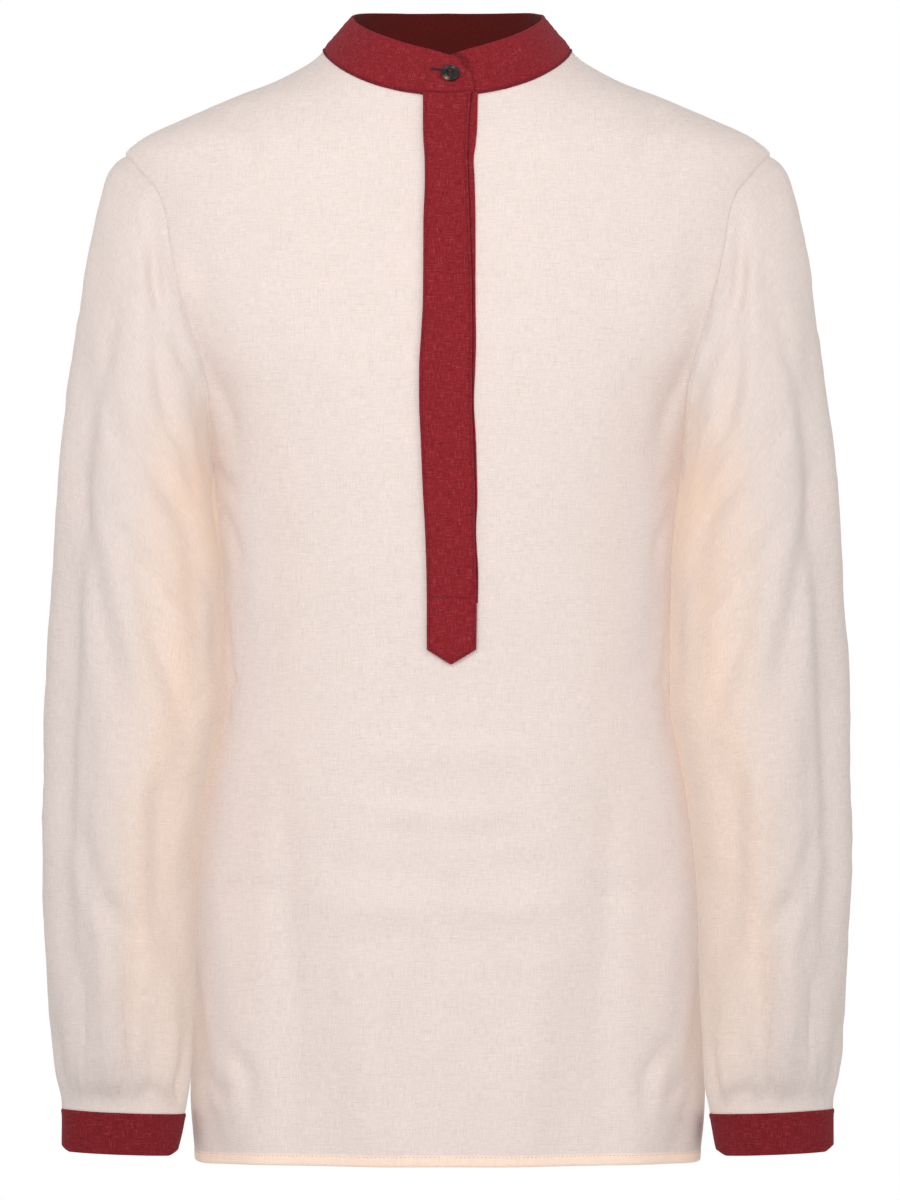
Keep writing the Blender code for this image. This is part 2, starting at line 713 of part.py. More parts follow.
def sleeve(angle, along):
    angle, along = np.broadcast_arrays(np.asarray(angle, float), np.asarray(along, float))
    lift = sleeve_lift(angle, along)[..., None]
    return bare_sleeve(angle, along) + lift * surface_normal(bare_sleeve, angle, along, *SLEEVE_STEPS)


def make_sleeve(side, name):
    angles = sleeve_angles()
    alongs = np.array(SLEEVE_ROWS)
    grid_angle, grid_along = np.meshgrid(angles, alongs)
    outer = sleeve(grid_angle, grid_along)
    facing = surface_normal(sleeve, grid_angle, grid_along, *SLEEVE_STEPS)
    ring, ring_facing = armhole_ring(angles)
    along_ring = unit(np.roll(ring, -1, axis=0) - np.roll(ring, 1, axis=0))
    outer[0] = ring + np.cross(ring_facing, along_ring) * SEAM_GAP
    facing[0] = ring_facing
    outer[-1] = cuff_ring(angles, 0.0, -SEAM_GAP)
    inner = outer - facing * CLOTH
    inner[-1] = cuff_ring(angles, CLOTH, -SEAM_GAP)
    return make_sided(side, name, outer, inner, LINEN)


def cuff_ring(angle, inset, down):
    """A level of the cuff, tilted with it: inset from its outer face, and down from its top."""
    share = down / CUFF_HEIGHT
    scale = 1 + (CUFF_TAPER - 1) * share
    middle_x = CUFF_TOP_X + (CUFF_LOW_X - CUFF_TOP_X) * share
    across = (CUFF_HALF_WIDTH * scale - inset) * np.cos(angle)
    deep = (CUFF_HALF_DEPTH * scale - inset) * np.sin(angle)
    return np.stack(
        [
            middle_x + across * math.cos(CUFF_TILT),
            CUFF_MIDDLE_Y - deep,
            CUFF_TOP - down + across * math.sin(CUFF_TILT),
        ],
        axis=-1,
    )


def make_sided(side, name, outer, inner, look):
    if side < 0:
        outer, inner = mirrored(outer), mirrored(inner)
    return make_wall(name, outer, inner, look, closed_across=True)


def make_cuff(side, name):
    angles = sleeve_angles()
    levels = np.linspace(0, CUFF_HEIGHT, CUFF_UP + 1)
    outer = np.stack([cuff_ring(angles, 0.0, down) for down in levels])
    inner = np.stack([cuff_ring(angles, BAND, down) for down in levels])
    return make_sided(side, name, outer, inner, RED_LINEN)


def collar_point(turned, share):
    """The collar's surface: turned is the angle gone from its over-lapping end."""
    angle = COLLAR_LAP - turned
    wrapped = np.mod(angle + math.pi, 2 * math.pi) - math.pi
    around, height = neck_ring(np.abs(wrapped))
    sign = np.where(wrapped < 0, -1.0, 1.0)
    foot = bare_body(around * sign, height)
    from_front = np.minimum(turned - COLLAR_LAP, 2 * math.pi + COLLAR_LAP - turned)
    deep = np.where(np.cos(wrapped) > 0, COLLAR_TOP_FRONT, COLLAR_TOP_BACK)
    top = np.stack(
        [
            COLLAR_TOP_HALF_WIDTH * np.sin(wrapped),
            -deep * np.cos(wrapped),
            from_table(COLLAR, "top_height", np.degrees(from_front), key="degrees"),
        ],
        axis=-1,
    )
    return foot + (top - foot) * share[..., None]


def collar_facing(turned, share):
    return surface_normal(collar_point, turned, share, *COLLAR_STEPS)


def collar_grid(turned, up):
    """Points of the collar's outer face, with the corners of its ends rounded and its ends lapped."""
    foot, top = collar_point(turned, np.zeros_like(turned)), collar_point(turned, np.ones_like(turned))
    tall = np.linalg.norm(top - foot, axis=-1)
    sweep = 2 * math.pi + 2 * COLLAR_LAP
    to_end = np.minimum(turned, sweep - turned) * NECK_HALF_WIDTH * COLLAR_NARROWING
    short = np.clip(COLLAR_CORNER - to_end, 0, COLLAR_CORNER)
    cut = COLLAR_CORNER - np.sqrt(COLLAR_CORNER**2 - short**2)
    lowest = COLLAR_FOOT_GAP / tall
    share = lowest + (1 - cut / tall - lowest) * up
    over = COLLAR_OVER * (1 - smooth(turned / COLLAR_EASE))
    under = COLLAR_UNDER * (1 - smooth((sweep - turned) / COLLAR_EASE))
    point = collar_point(turned, share)
    facing = collar_facing(turned, share)
    return point + facing * (over + under)[..., None], facing


def make_collar():
    even = np.linspace(0, 1, COLLAR_AROUND + 1)
    crowded = even - COLLAR_END_CROWDING * np.sin(2 * math.pi * even) / (2 * math.pi)
    sweep = 2 * math.pi + 2 * COLLAR_LAP
    turned, up = np.meshgrid(sweep * crowded, np.linspace(0, 1, COLLAR_UP + 1))
    outer, facing = collar_grid(turned, up)
    return make_wall("collar", outer, outer - facing * BAND, RED_LINEN)


def placket_heights():
    """The front's own rows from the slit's end up to just under the collar."""
    rows = front_half()[:, 0, 1]
    return rows[BELOW_SLIT_ROWS:]


def strip_grid(left, right, heights, out):
    """A strip laid on the front, moved out from it."""
    share = np.linspace(0, 1, STRIP_ACROSS + 1)
    around = left[:, None] * (1 - share) + right[:, None] * share
    height = np.repeat(heights[:, None], STRIP_ACROSS + 1, axis=1)
    return around, height, body(around, height, out)


def make_under_strip():
    heights = placket_heights()
    heights[-1] -= 2 * SEAM_GAP
    right = from_table(PLACKET, "under_right", heights)
    left = from_table(PLACKET, "left", heights) + UNDER_STRIP_INSET
    around, height, inner = strip_grid(left, right, heights, SEAM_GAP)
    outer = body(around, height, SEAM_GAP + STRIP)
    return make_wall("placket_under", outer, inner, RED_LINEN)


def make_top_strip():
    foot = np.linspace(FOOT_CORNER, SLIT_END, FOOT_ROWS + 1)[:-1]
    heights = np.concatenate([foot, placket_heights()])
    heights[-1] -= 2 * SEAM_GAP
    left, right = from_table(PLACKET, "left", heights), from_table(PLACKET, "right", heights)
    around, height, _ = strip_grid(left, right, heights, 0.0)
    to_corner = np.where(around[0] < FOOT_TIP_X, around[0] - left[0], right[0] - around[0])
    half = np.where(around[0] < FOOT_TIP_X, FOOT_TIP_X - left[0], right[0] - FOOT_TIP_X)
    height[0] += (FOOT_TIP - FOOT_CORNER) * to_corner / half
    lift = 2 * SEAM_GAP + STRIP
    return make_wall(
        "placket_top", body(around, height, lift + STRIP), body(around, height, lift), RED_LINEN
    )


def make_button():
    """A four-hole button with a raised rim, on the collar's lapped end."""
    radius, thick = BUTTON_RADIUS, BUTTON_THICKNESS
    mesh = bmesh.new()
    ring = [mesh.verts.new((r * radius, 0, h * thick)) for r, h in BUTTON_PROFILE]
    edges = [mesh.edges.new(pair) for pair in zip(ring, ring[1:])]
    bmesh.ops.spin(
        mesh, geom=ring + edges, cent=(0, 0, 0), axis=(0, 0, 1), angle=2 * math.pi,
        steps=BUTTON_SIDES, use_merge=True,
    )
    bmesh.ops.remove_doubles(mesh, verts=mesh.verts, dist=1e-6)
    bmesh.ops.recalc_face_normals(mesh, faces=mesh.faces)
    button = add_object("button", mesh, HORN)
    for across in (-0.5, 0.5):
        for up in (-0.5, 0.5):
            drill_hole(button, across * BUTTON_HOLE_SPACING, up * BUTTON_HOLE_SPACING)
    turned = np.array(COLLAR_LAP - math.asin(BUTTON_X / NECK_HALF_WIDTH))
    levels = np.linspace(0, 1, 41)
    heights = collar_point(np.full(41, turned), levels)[:, 2]
    share = np.interp(BUTTON_HEIGHT, heights, levels)
    facing = Vector(collar_facing(turned, np.array(share)))
    seat = Vector(collar_point(turned, np.array(share))) + facing * (COLLAR_OVER + SEAM_GAP)
    upright = facing.to_track_quat("Z", "Y").to_matrix().to_4x4()
    button.matrix_world = Matrix.Translation(seat) @ upright
    return button


def drill_hole(button, x, y):
    mesh = bmesh.new()
    bmesh.ops.create_cone(
        mesh, cap_ends=True, segments=HOLE_SIDES, radius1=BUTTON_HOLE_RADIUS, radius2=BUTTON_HOLE_RADIUS,
        depth=BUTTON_THICKNESS * 4, matrix=Matrix.Translation((x, y, 0)),
    )
    cutter = add_object(f"hole_{x:+.4f}_{y:+.4f}", mesh, HORN)
    cutter.hide_render = True
    cutter.display_type = "WIRE"
    cutter.parent = button
    cut = button.modifiers.new("hole", "BOOLEAN")
    cut.object = cutter
    cut.operation = "DIFFERENCE"


def main():
    for obj in list(bpy.data.objects):
        bpy.data.objects.remove(obj)
    make_front()
    make_back()
    for side, word in ((1, "left"), (-1, "right")):
        make_sleeve(side, f"sleeve_{word}")
        make_cuff(side, f"cuff_{word}")
    make_collar()
    make_under_strip()
    make_top_strip()
    make_button()


main()
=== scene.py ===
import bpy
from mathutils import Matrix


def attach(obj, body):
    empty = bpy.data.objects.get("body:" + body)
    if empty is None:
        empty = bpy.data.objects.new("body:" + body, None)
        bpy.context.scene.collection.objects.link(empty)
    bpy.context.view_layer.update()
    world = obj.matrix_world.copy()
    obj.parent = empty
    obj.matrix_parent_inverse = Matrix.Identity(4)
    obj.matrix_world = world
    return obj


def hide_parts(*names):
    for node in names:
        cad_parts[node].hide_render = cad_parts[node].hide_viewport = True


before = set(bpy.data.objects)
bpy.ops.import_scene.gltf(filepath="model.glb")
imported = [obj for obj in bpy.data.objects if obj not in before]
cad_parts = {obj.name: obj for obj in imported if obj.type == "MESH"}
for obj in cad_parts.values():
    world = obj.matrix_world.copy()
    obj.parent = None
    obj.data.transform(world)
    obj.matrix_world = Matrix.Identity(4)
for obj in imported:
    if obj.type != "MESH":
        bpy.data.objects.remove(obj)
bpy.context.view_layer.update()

import math

import bmesh
import bpy
import numpy as np
from mathutils import Matrix, Vector

# The blouse is filled out with nobody in it. Metres, front towards -Y, the wearer's left at +X.
# A place on the body is a length around from the centre front and a height, as on the cloth.

bodyShape = {
    # height, half width, front depth, back depth, squareness
    "sections": [
        (-0.700, 0.1580, 0.1260, 0.1220, 2.4),
        (-0.650, 0.1618, 0.1270, 0.1210, 2.4),
        (-0.580, 0.1605, 0.1260, 0.1180, 2.4),
        (-0.520, 0.1585, 0.1250, 0.1150, 2.4),
        (-0.460, 0.1512, 0.1240, 0.1120, 2.4),
        (-0.405, 0.1412, 0.1240, 0.1100, 2.4),
        (-0.330, 0.1408, 0.1260, 0.1100, 2.4),
        (-0.262, 0.1470, 0.1275, 0.1130, 2.35),
        (-0.217, 0.1600, 0.1260, 0.1145, 2.3),
        (-0.180, 0.1860, 0.1210, 0.1150, 2.2),
        (-0.145, 0.1990, 0.1130, 0.1130, 2.15),
        (-0.100, 0.2010, 0.1000, 0.1060, 2.1),
        (-0.0635, 0.2035, 0.0890, 0.0970, 2.0),
        (-0.0535, 0.1937, 0.0855, 0.0940, 2.0),
        (-0.0410, 0.1680, 0.0805, 0.0890, 2.0),
        (-0.0284, 0.1390, 0.0750, 0.0820, 2.0),
        (-0.0158, 0.1070, 0.0690, 0.0740, 2.0),
        (0.0, 0.0805, 0.0540, 0.0620, 2.0),
        (0.0035, 0.0780, 0.0500, 0.0580, 2.0),
    ],
    "hem": -0.693,
    "armpit": -0.262,
    "slitEnd": -0.345,
    "tip": -0.0635,
    "neckPoint": 0.0035,
    "neckHalfWidth": 0.0780,
    "frontNeckDrop": 0.0318,
    "backNeckDrop": 0.009,
    "neckDropPower": 1.3,
    # height, half spread
    "armhole": [
        (-0.2620, 0.1470),
        (-0.2420, 0.1484),
        (-0.2174, 0.1496),
        (-0.2016, 0.1540),
        (-0.1777, 0.1620),
        (-0.1455, 0.1690),
        (-0.1230, 0.1735),
        (-0.1033, 0.1765),
        (-0.0888, 0.1815),
        (-0.0803, 0.1880),
        (-0.0725, 0.1950),
        (-0.0635, 0.2035),
    ],
    "backSpread": 0.004,
    "seamForwardTip": 0.008,
    "seamForwardMiddle": 0.013,
    "seamForwardNeck": 0.009,
    "slitHalf": 0.0115,
}
placketFoot = {"corner": -0.3735, "tip": -0.3830, "tipX": 0.0022}


def smooth(t):
    t = np.clip(t, 0, 1)
    return t * t * (3 - 2 * t)


def bell(t):
    return np.exp(-(t**2))


def eased(knots, values, at):  # a cubic through the knots that doesn't overshoot them
    x, y = np.asarray(knots, float), np.asarray(values, float)
    rise = np.diff(y) / np.diff(x)
    total = rise[1:] + rise[:-1]
    sameWay = rise[1:] * rise[:-1] > 0
    middle = np.where(sameWay, 2 * rise[1:] * rise[:-1] / np.where(sameWay, total, 1), 0)
    slope = np.concatenate([rise[:1], middle, rise[-1:]])
    at = np.clip(at, x[0], x[-1])
    i = np.clip(np.searchsorted(x, at, side="right") - 1, 0, len(x) - 2)
    step = x[i + 1] - x[i]
    t = (at - x[i]) / step
    return (
        y[i] * (1 + 2 * t) * (1 - t) ** 2
        + slope[i] * step * t * (1 - t) ** 2
        + y[i + 1] * t * t * (3 - 2 * t)
        + slope[i + 1] * step * t * t * (t - 1)
    )


def fromRows(rows, column, at):
    table = np.array(rows, float)
    return eased(table[:, 0], table[:, column], at)


def unit(vectors):
    return vectors / np.maximum(np.linalg.norm(vectors, axis=-1, keepdims=True), 1e-12)


# The body's level sections, sampled evenly from the centre front to the centre back
sectionSampling = {"levels": 1408, "quarterSteps": 240, "evenSteps": 600}
sectionLevels = np.linspace(bodyShape["sections"][0][0], bodyShape["neckPoint"], sectionSampling["levels"])


def measureSections():
    height, quarter = sectionLevels[:, None], sectionSampling["quarterSteps"]
    width, front, back, square = (fromRows(bodyShape["sections"], k, height) for k in (1, 2, 3, 4))
    angle = np.linspace(-math.pi / 2, math.pi / 2, 2 * quarter + 1)
    x = width * np.clip(np.cos(angle), 0, 1) ** (2 / square)
    y = np.where(angle < 0, -front, back) * np.abs(np.sin(angle)) ** (2 / square)
    step = np.hypot(np.diff(x, axis=1), np.diff(y, axis=1))
    length = np.concatenate([np.zeros_like(height), np.cumsum(step, axis=1)], axis=1)
    share = np.linspace(0, 1, sectionSampling["evenSteps"] + 1)
    evenX = np.stack([np.interp(share, run / run[-1], row) for run, row in zip(length, x)])
    evenY = np.stack([np.interp(share, run / run[-1], row) for run, row in zip(length, y)])
    return evenX, evenY, length[:, quarter], length[:, -1]


sectionX, sectionY, sideLength, backLength = measureSections()


def toSide(height):
    return np.interp(height, sectionLevels, sideLength)


def toBack(height):
    return np.interp(height, sectionLevels, backLength)


def levelRow(height):  # where a height lies among the rows of the sections
    row = (height - sectionLevels[0]) / (sectionLevels[1] - sectionLevels[0])
    return np.clip(row, 0, len(sectionLevels) - 1.001)


def bareBody(around, height):
    around, height = np.broadcast_arrays(np.asarray(around, float), np.asarray(height, float))
    row = levelRow(height)
    column = np.clip(np.abs(around) / toBack(height), 0, 1) * (sectionX.shape[1] - 1)
    column = np.clip(column, 0, sectionX.shape[1] - 1.001)
    i, j = row.astype(int), column.astype(int)
    a, b = row - i, column - j

    def readFrom(table):
        low = table[i, j] * (1 - b) + table[i, j + 1] * b
        high = table[i + 1, j] * (1 - b) + table[i + 1, j + 1] * b
        return low * (1 - a) + high * a

    x = readFrom(sectionX) * np.where(around < 0, -1.0, 1.0)
    return np.stack([x, readFrom(sectionY), height], axis=-1)


def aroundAt(x, height, onBack=False):  # the length around where the section is x from the middle
    found = []
    for wanted, level in zip(np.ravel(x), np.ravel(height)):
        row = levelRow(level)
        i = int(row)
        line = sectionX[i] * (1 - row + i) + sectionX[i + 1] * (row - i)
        length = np.linspace(0, toBack(level), len(line))
        widest = int(np.argmax(line))
        part = slice(None, widest - 1, -1) if onBack else slice(None, widest + 1)
        found.append(np.interp(wanted, line[part], length[part]))
    return np.array(found).reshape(np.shape(x))


def surfaceNormal(surface, a, b, stepA, stepB):
    alongA = surface(a + stepA, b) - surface(a - stepA, b)
    alongB = surface(a, b) - surface(a, b - stepB)
    return unit(np.cross(alongA, alongB))


# Creases and unevenness of the cloth
creaseForm = {
    "steps": 6,  # between two points of a path
    "endShare": 0.004,
    # the cloth swells a little beside a trough: share of the depth, place and width in crease widths
    "bank": (0.38, 1.9, 1.1),
}


def creaseLift(u, v, creases):  # soft troughs and ridges along given paths, each (path, width, depth)
    total = np.zeros(np.shape(u))
    ends, (bank, place, spread) = creaseForm["endShare"], creaseForm["bank"]
    for path, width, depth in creases:
        knots = np.array(path, float)
        along = np.linspace(0, len(knots) - 1, creaseForm["steps"] * (len(knots) - 1) + 1)
        line = np.stack([eased(np.arange(len(knots)), knots[:, k], along) for k in range(2)], axis=1)
        nearest = np.full(np.shape(u), np.inf)
        side, share = np.zeros(np.shape(u)), np.zeros(np.shape(u))
        for k, (start, end) in enumerate(zip(line[:-1], line[1:])):
            run = end - start
            t = np.clip(((u - start[0]) * run[0] + (v - start[1]) * run[1]) / run.dot(run), 0, 1)
            du, dv = u - start[0] - t * run[0], v - start[1] - t * run[1]
            distance = np.hypot(du, dv)
            closer = distance < nearest
            nearest = np.where(closer, distance, nearest)
            side = np.where(closer, np.sign(run[0] * dv - run[1] * du), side)
            share = np.where(closer, (k + t) / (len(line) - 1), share)
        taper = np.sqrt(np.clip(np.sin(math.pi * np.clip(share, ends, 1 - ends)), 0, 1))
        across = nearest * side / width
        profile = bell(across) - bank * bell((across - place) / spread)
        total += depth * profile * taper
    return total


def softNoise(u, v, sizeU, sizeV, seed):  # smooth unevenness, -1 to 1, of one size
    count, start = 128, 40  # cells of the lattice, and the one at the origin
    lattice = np.random.default_rng(seed).uniform(-1, 1, (count, count))
    x, y = u / sizeU + start, v / sizeV + start
    i, j = np.floor(x).astype(int), np.floor(y).astype(int)
    a, b = smooth(x - i), smooth(y - j)
    i, j, k, m = i % count, j % count, (i + 1) % count, (j + 1) % count
    low = lattice[i, j] * (1 - a) + lattice[k, j] * a
    high = lattice[i, m] * (1 - a) + lattice[k, m] * a
    return low * (1 - b) + high * b


bodyFolds = {
    # start around, start height, end around, end height, width, depth, as on the solid
    "front": [
        (0.215, -0.560, 0.160, -0.690, 0.015, -0.0030),
        (0.160, -0.500, 0.118, -0.720, 0.016, 0.0022),
        (0.120, -0.420, 0.075, -0.720, 0.022, -0.0026),
        (0.070, -0.395, 0.035, -0.720, 0.020, 0.0020),
        (0.165, -0.105, 0.150, -0.270, 0.014, -0.0022),
        (0.185, -0.255, 0.135, -0.400, 0.018, -0.0020),
    ],
    "back": [
        (0.190, -0.400, 0.165, -0.720, 0.022, 0.0026),
        (0.140, -0.360, 0.115, -0.720, 0.020, -0.0032),
        (0.080, -0.300, 0.070, -0.720, 0.024, 0.0028),
        (0.030, -0.260, 0.025, -0.720, 0.020, -0.0022),
        (0.150, -0.110, 0.130, -0.300, 0.018, -0.0022),
    ],
    # finer creases: path of (around, height), width, depth
    "frontCreases": [
        ([(0.151, -0.618), (0.136, -0.630), (0.129, -0.643), (0.130, -0.664)], 0.0065, -0.0033),
        ([(0.172, -0.640), (0.160, -0.648), (0.147, -0.651)], 0.0050, -0.0021),
        ([(0.106, -0.440), (0.102, -0.541), (0.098, -0.622), (0.099, -0.692)], 0.0095, -0.0024),
        ([(0.160, -0.530), (0.125, -0.523), (0.100, -0.524)], 0.0080, -0.0016),
        ([(0.178, -0.388), (0.166, -0.394), (0.152, -0.399)], 0.0060, -0.0021),
        ([(0.186, -0.350), (0.176, -0.380), (0.174, -0.430)], 0.0080, -0.0021),
        ([(0.060, -0.434), (0.028, -0.438), (-0.004, -0.437)], 0.0110, 0.0018),
        ([(0.048, -0.470), (0.024, -0.475), (-0.004, -0.478)], 0.0080, 0.0021),
        ([(0.078, -0.506), (0.040, -0.512), (-0.004, -0.513)], 0.0110, -0.0021),
        ([(0.076, -0.535), (0.040, -0.533), (-0.004, -0.532)], 0.0100, 0.0016),
        ([(0.140, -0.034), (0.130, -0.050), (0.120, -0.072)], 0.0070, -0.0023),
        ([(0.112, -0.152), (0.098, -0.150), (0.084, -0.150)], 0.0045, -0.0014),
        ([(0.176, -0.150), (0.172, -0.180), (0.164, -0.212), (0.150, -0.240)], 0.0085, -0.0030),
        ([(0.205, -0.262), (0.180, -0.268), (0.150, -0.282)], 0.0085, -0.0029),
        ([(0.200, -0.280), (0.176, -0.296), (0.150, -0.322)], 0.0085, -0.0024),
        ([(0.060, -0.560), (0.056, -0.620), (0.052, -0.690)], 0.0130, 0.0016),
        ([(0.030, -0.590), (0.024, -0.640), (0.020, -0.690)], 0.0120, -0.0014),
    ],
    "backCreases": [
        ([(0.020, -0.060), (0.070, -0.075), (0.120, -0.110)], 0.0100, -0.0024),
        ([(0.175, -0.140), (0.168, -0.180), (0.155, -0.225)], 0.0090, -0.0037),
        ([(0.205, -0.262), (0.175, -0.275), (0.140, -0.300)], 0.0090, -0.0032),
        ([(0.195, -0.300), (0.165, -0.325), (0.130, -0.365)], 0.0095, -0.0027),
        ([(0.110, -0.380), (0.104, -0.480), (0.096, -0.600), (0.094, -0.692)], 0.0095, -0.0031),
        ([(0.052, -0.330), (0.050, -0.470), (0.047, -0.600), (0.046, -0.692)], 0.0100, 0.0026),
        ([(0.080, -0.395), (0.040, -0.402), (-0.010, -0.400)], 0.0110, -0.0020),
        ([(0.070, -0.440), (0.030, -0.446), (-0.014, -0.446)], 0.0110, 0.0020),
        ([(0.155, -0.560), (0.140, -0.600), (0.134, -0.660)], 0.0080, -0.0032),
        ([(0.010, -0.150), (0.012, -0.200), (0.008, -0.260)], 0.0110, -0.0015),
    ],
    # small unevenness: height, size around, size along, seed
    "uneven": [(0.00045, 0.026, 0.075, 11), (0.00022, 0.011, 0.024, 12)],
    "heldShare": 0.45,  # of it near the shoulders
    "flatBesidePlacket": (0.017, 0.029),  # flat up to the first length around, free beyond the second
    "foldsFromSide": 0.030,
    "creasesFromSide": 0.006,
    "hemSag": 0.0028,  # how much lower the hem hangs at the sides
    "sagReach": 0.16,
    "hemBand": 0.0068,
    "bandThicker": 0.9,
    "bandEase": 0.0009,
    "stitchPull": 0.00035,
    "seamDepth": 0.0009,
    "seamWidth": 0.0024,
    "thickness": 0.0010,
}


def foldLift(folds, around, along):  # straight folds, as on the solid
    total = np.zeros(np.shape(around))
    for startAround, startAlong, endAround, endAlong, width, depth in folds:
        share = (along - startAlong) / (endAlong - startAlong)
        middle = startAround + share * (endAround - startAround)
        across = bell((around - middle) / width)
        total += depth * across * smooth(share / 0.25) * smooth((1.15 - share) / 0.3)
    return total


def bodyLift(around, height):
    side, back = toSide(height), toBack(height)
    away = np.abs(around)
    fade = smooth(np.abs(away - side) / bodyFolds["foldsFromSide"])
    front = foldLift(bodyFolds["front"], away, height)
    behind = foldLift(bodyFolds["back"], back - away, height)
    return np.where(away < side, front, behind) * fade


def bodyDrape(around, height):  # what the solid is too coarse for
    side, back = toSide(height), toBack(height)
    away = np.abs(around)
    onFront = away < side
    front = creaseLift(away, height, bodyFolds["frontCreases"])
    behind = creaseLift(back - away, height, bodyFolds["backCreases"])
    fine = np.where(onFront, front, behind) * smooth(np.abs(away - side) / bodyFolds["creasesFromSide"])
    uneven = sum(lift * softNoise(around, height, *size) for lift, *size in bodyFolds["uneven"])
    held, free = bodyFolds["heldShare"], smooth((bodyShape["tip"] - height + 0.03) / 0.15)
    flat, full = bodyFolds["flatBesidePlacket"]
    atPlacket = onFront & (height > placketFoot["tip"] - 0.01)
    besidePlacket = np.where(atPlacket, smooth((away - flat) / (full - flat)), 1.0)
    return (fine + uneven * (held + (1 - held) * free)) * besidePlacket


normalStep = 0.0012


def bareNormal(around, height):
    return surfaceNormal(bareBody, around, height, normalStep, normalStep)


def body(around, height, out=0.0):  # the body with its folds, moved out by a distance
    around, height = np.broadcast_arrays(np.asarray(around, float), np.asarray(height, float))
    lift = bodyLift(around, height) + bodyDrape(around, height) + out
    points = bareBody(around, height) + bareNormal(around, height) * lift[..., None]
    atSide = smooth((np.abs(points[..., 0]) - 0.11) / 0.07)
    nearHem = smooth(1 - (points[..., 2] - bodyShape["hem"]) / bodyFolds["sagReach"])
    points[..., 2] -= bodyFolds["hemSag"] * atSide * nearHem
    return points


def bodyNormal(around, height):
    return surfaceNormal(body, around, height, normalStep, normalStep)


# Lines of the pattern on the body
neckAngles = np.linspace(0, math.pi, 721)
lineSteps = 160


def measureNeck():
    facing = np.cos(neckAngles)
    drop = np.where(facing > 0, bodyShape["frontNeckDrop"], bodyShape["backNeckDrop"])
    height = bodyShape["neckPoint"] - drop * np.abs(facing) ** bodyShape["neckDropPower"]
    widest = fromRows(bodyShape["sections"], 1, height)
    x = np.minimum(bodyShape["neckHalfWidth"] * np.abs(np.sin(neckAngles)), widest)
    return np.where(facing > 0, aroundAt(x, height), aroundAt(x, height, onBack=True)), height


neckAround, neckHeight = measureNeck()


def neckRing(angle):
    return np.interp(angle, neckAngles, neckAround), np.interp(angle, neckAngles, neckHeight)


def measured(line):
    step = np.linalg.norm(np.diff(bareBody(line[:, 0], line[:, 1]), axis=0), axis=1)
    return np.concatenate([[0], np.cumsum(step)])


def resampled(line, shares):
    length = measured(line)
    at = np.asarray(shares) * length[-1]
    return np.stack([np.interp(at, length, line[:, k]) for k in range(2)], axis=1)


def armholeLine(onBack):  # from the armpit to the ridge of the shoulder
    share = (1 - np.cos(np.linspace(0, math.pi, lineSteps + 1))) / 2
    height = bodyShape["armpit"] + share * (bodyShape["tip"] - bodyShape["armpit"])
    extra = bodyShape["backSpread"] * np.sin(math.pi * share) if onBack else 0.0
    widest = fromRows(bodyShape["sections"], 1, height)
    x = np.minimum(fromRows(bodyShape["armhole"], 1, height) + extra, widest)
    around = aroundAt(x, height, onBack)
    around[[0, -1]] = toSide(height[[0, -1]])
    return np.stack([around, height], axis=1)


def shoulderCorner():
    line = armholeLine(onBack=False)
    length = measured(line)
    below = length[-1] - length >= bodyShape["seamForwardTip"]
    return line[below][-1], line[below], line[~below]


def shoulderSeam(shares):
    corner = shoulderCorner()[0]
    angles = np.linspace(math.radians(60), math.radians(90), 121)
    around, height = neckRing(angles)
    atNeck = np.argmax(toSide(height) - around <= bodyShape["seamForwardNeck"])
    top = height[atNeck]
    levels = np.linspace(top, corner[1], 81)
    forwardTip = toSide(corner[1]) - corner[0]
    knots = [corner[1], (top + corner[1]) / 2, top]
    forward = eased(knots, [forwardTip, bodyShape["seamForwardMiddle"], bodyShape["seamForwardNeck"]], levels)
    return resampled(np.stack([toSide(levels) - forward, levels], axis=1), shares), angles[atNeck]


def endShares(count, length, edges=(0.0008, 0.0020)):  # even steps, with close ones at the far edge
    return np.concatenate([np.linspace(0, 1, count + 1)[:-1], 1 - np.array(edges[::-1]) / length, [1]])


panelMesh = {
    "frontNeckColumns": 26,
    "backNeckColumns": 28,
    "shoulderShares": endShares(44, 0.135),
    "chestShares": endShares(70, 0.23),
    "hemRows": np.array([0, 0.0008, 0.0020, 0.0040, 0.0058, 0.0064, 0.0070, 0.0076, 0.0086]),
    "belowSlitRows": 104,
    "slitRows": 26,
    "centreColumns": 7,
}


def panelRows():  # heights from the hem to the armpit, and the row where the slit starts
    hem, slitEnd, armpit = bodyShape["hem"], bodyShape["slitEnd"], bodyShape["armpit"]
    band = hem + panelMesh["hemRows"]
    low = np.linspace(band[-1], slitEnd, panelMesh["belowSlitRows"] + 1)[1:]
    high = np.linspace(slitEnd, armpit, panelMesh["slitRows"] + 1)[1:]
    return np.concatenate([band, low, high]), len(band) + len(low) - 1


def blended(innerLine, outerLine, topLine, shares, lowCount):  # level rows that bend up to the top line
    highShares = panelMesh["chestShares"][1:]
    rise = smooth(np.concatenate([np.zeros(lowCount), highShares]))
    rows = innerLine[:, None] * (1 - shares)[None, :, None] + outerLine[:, None] * shares[None, :, None]
    straight = topLine[0] * (1 - shares)[:, None] + topLine[-1] * shares[:, None]
    return rows + rise[:, None, None] * (topLine - straight)[None]


def fromBack(grid):  # lengths from the centre front made lengths from the centre back, and the other way
    return np.stack([toBack(grid[..., 1]) - grid[..., 0], grid[..., 1]], axis=-1)


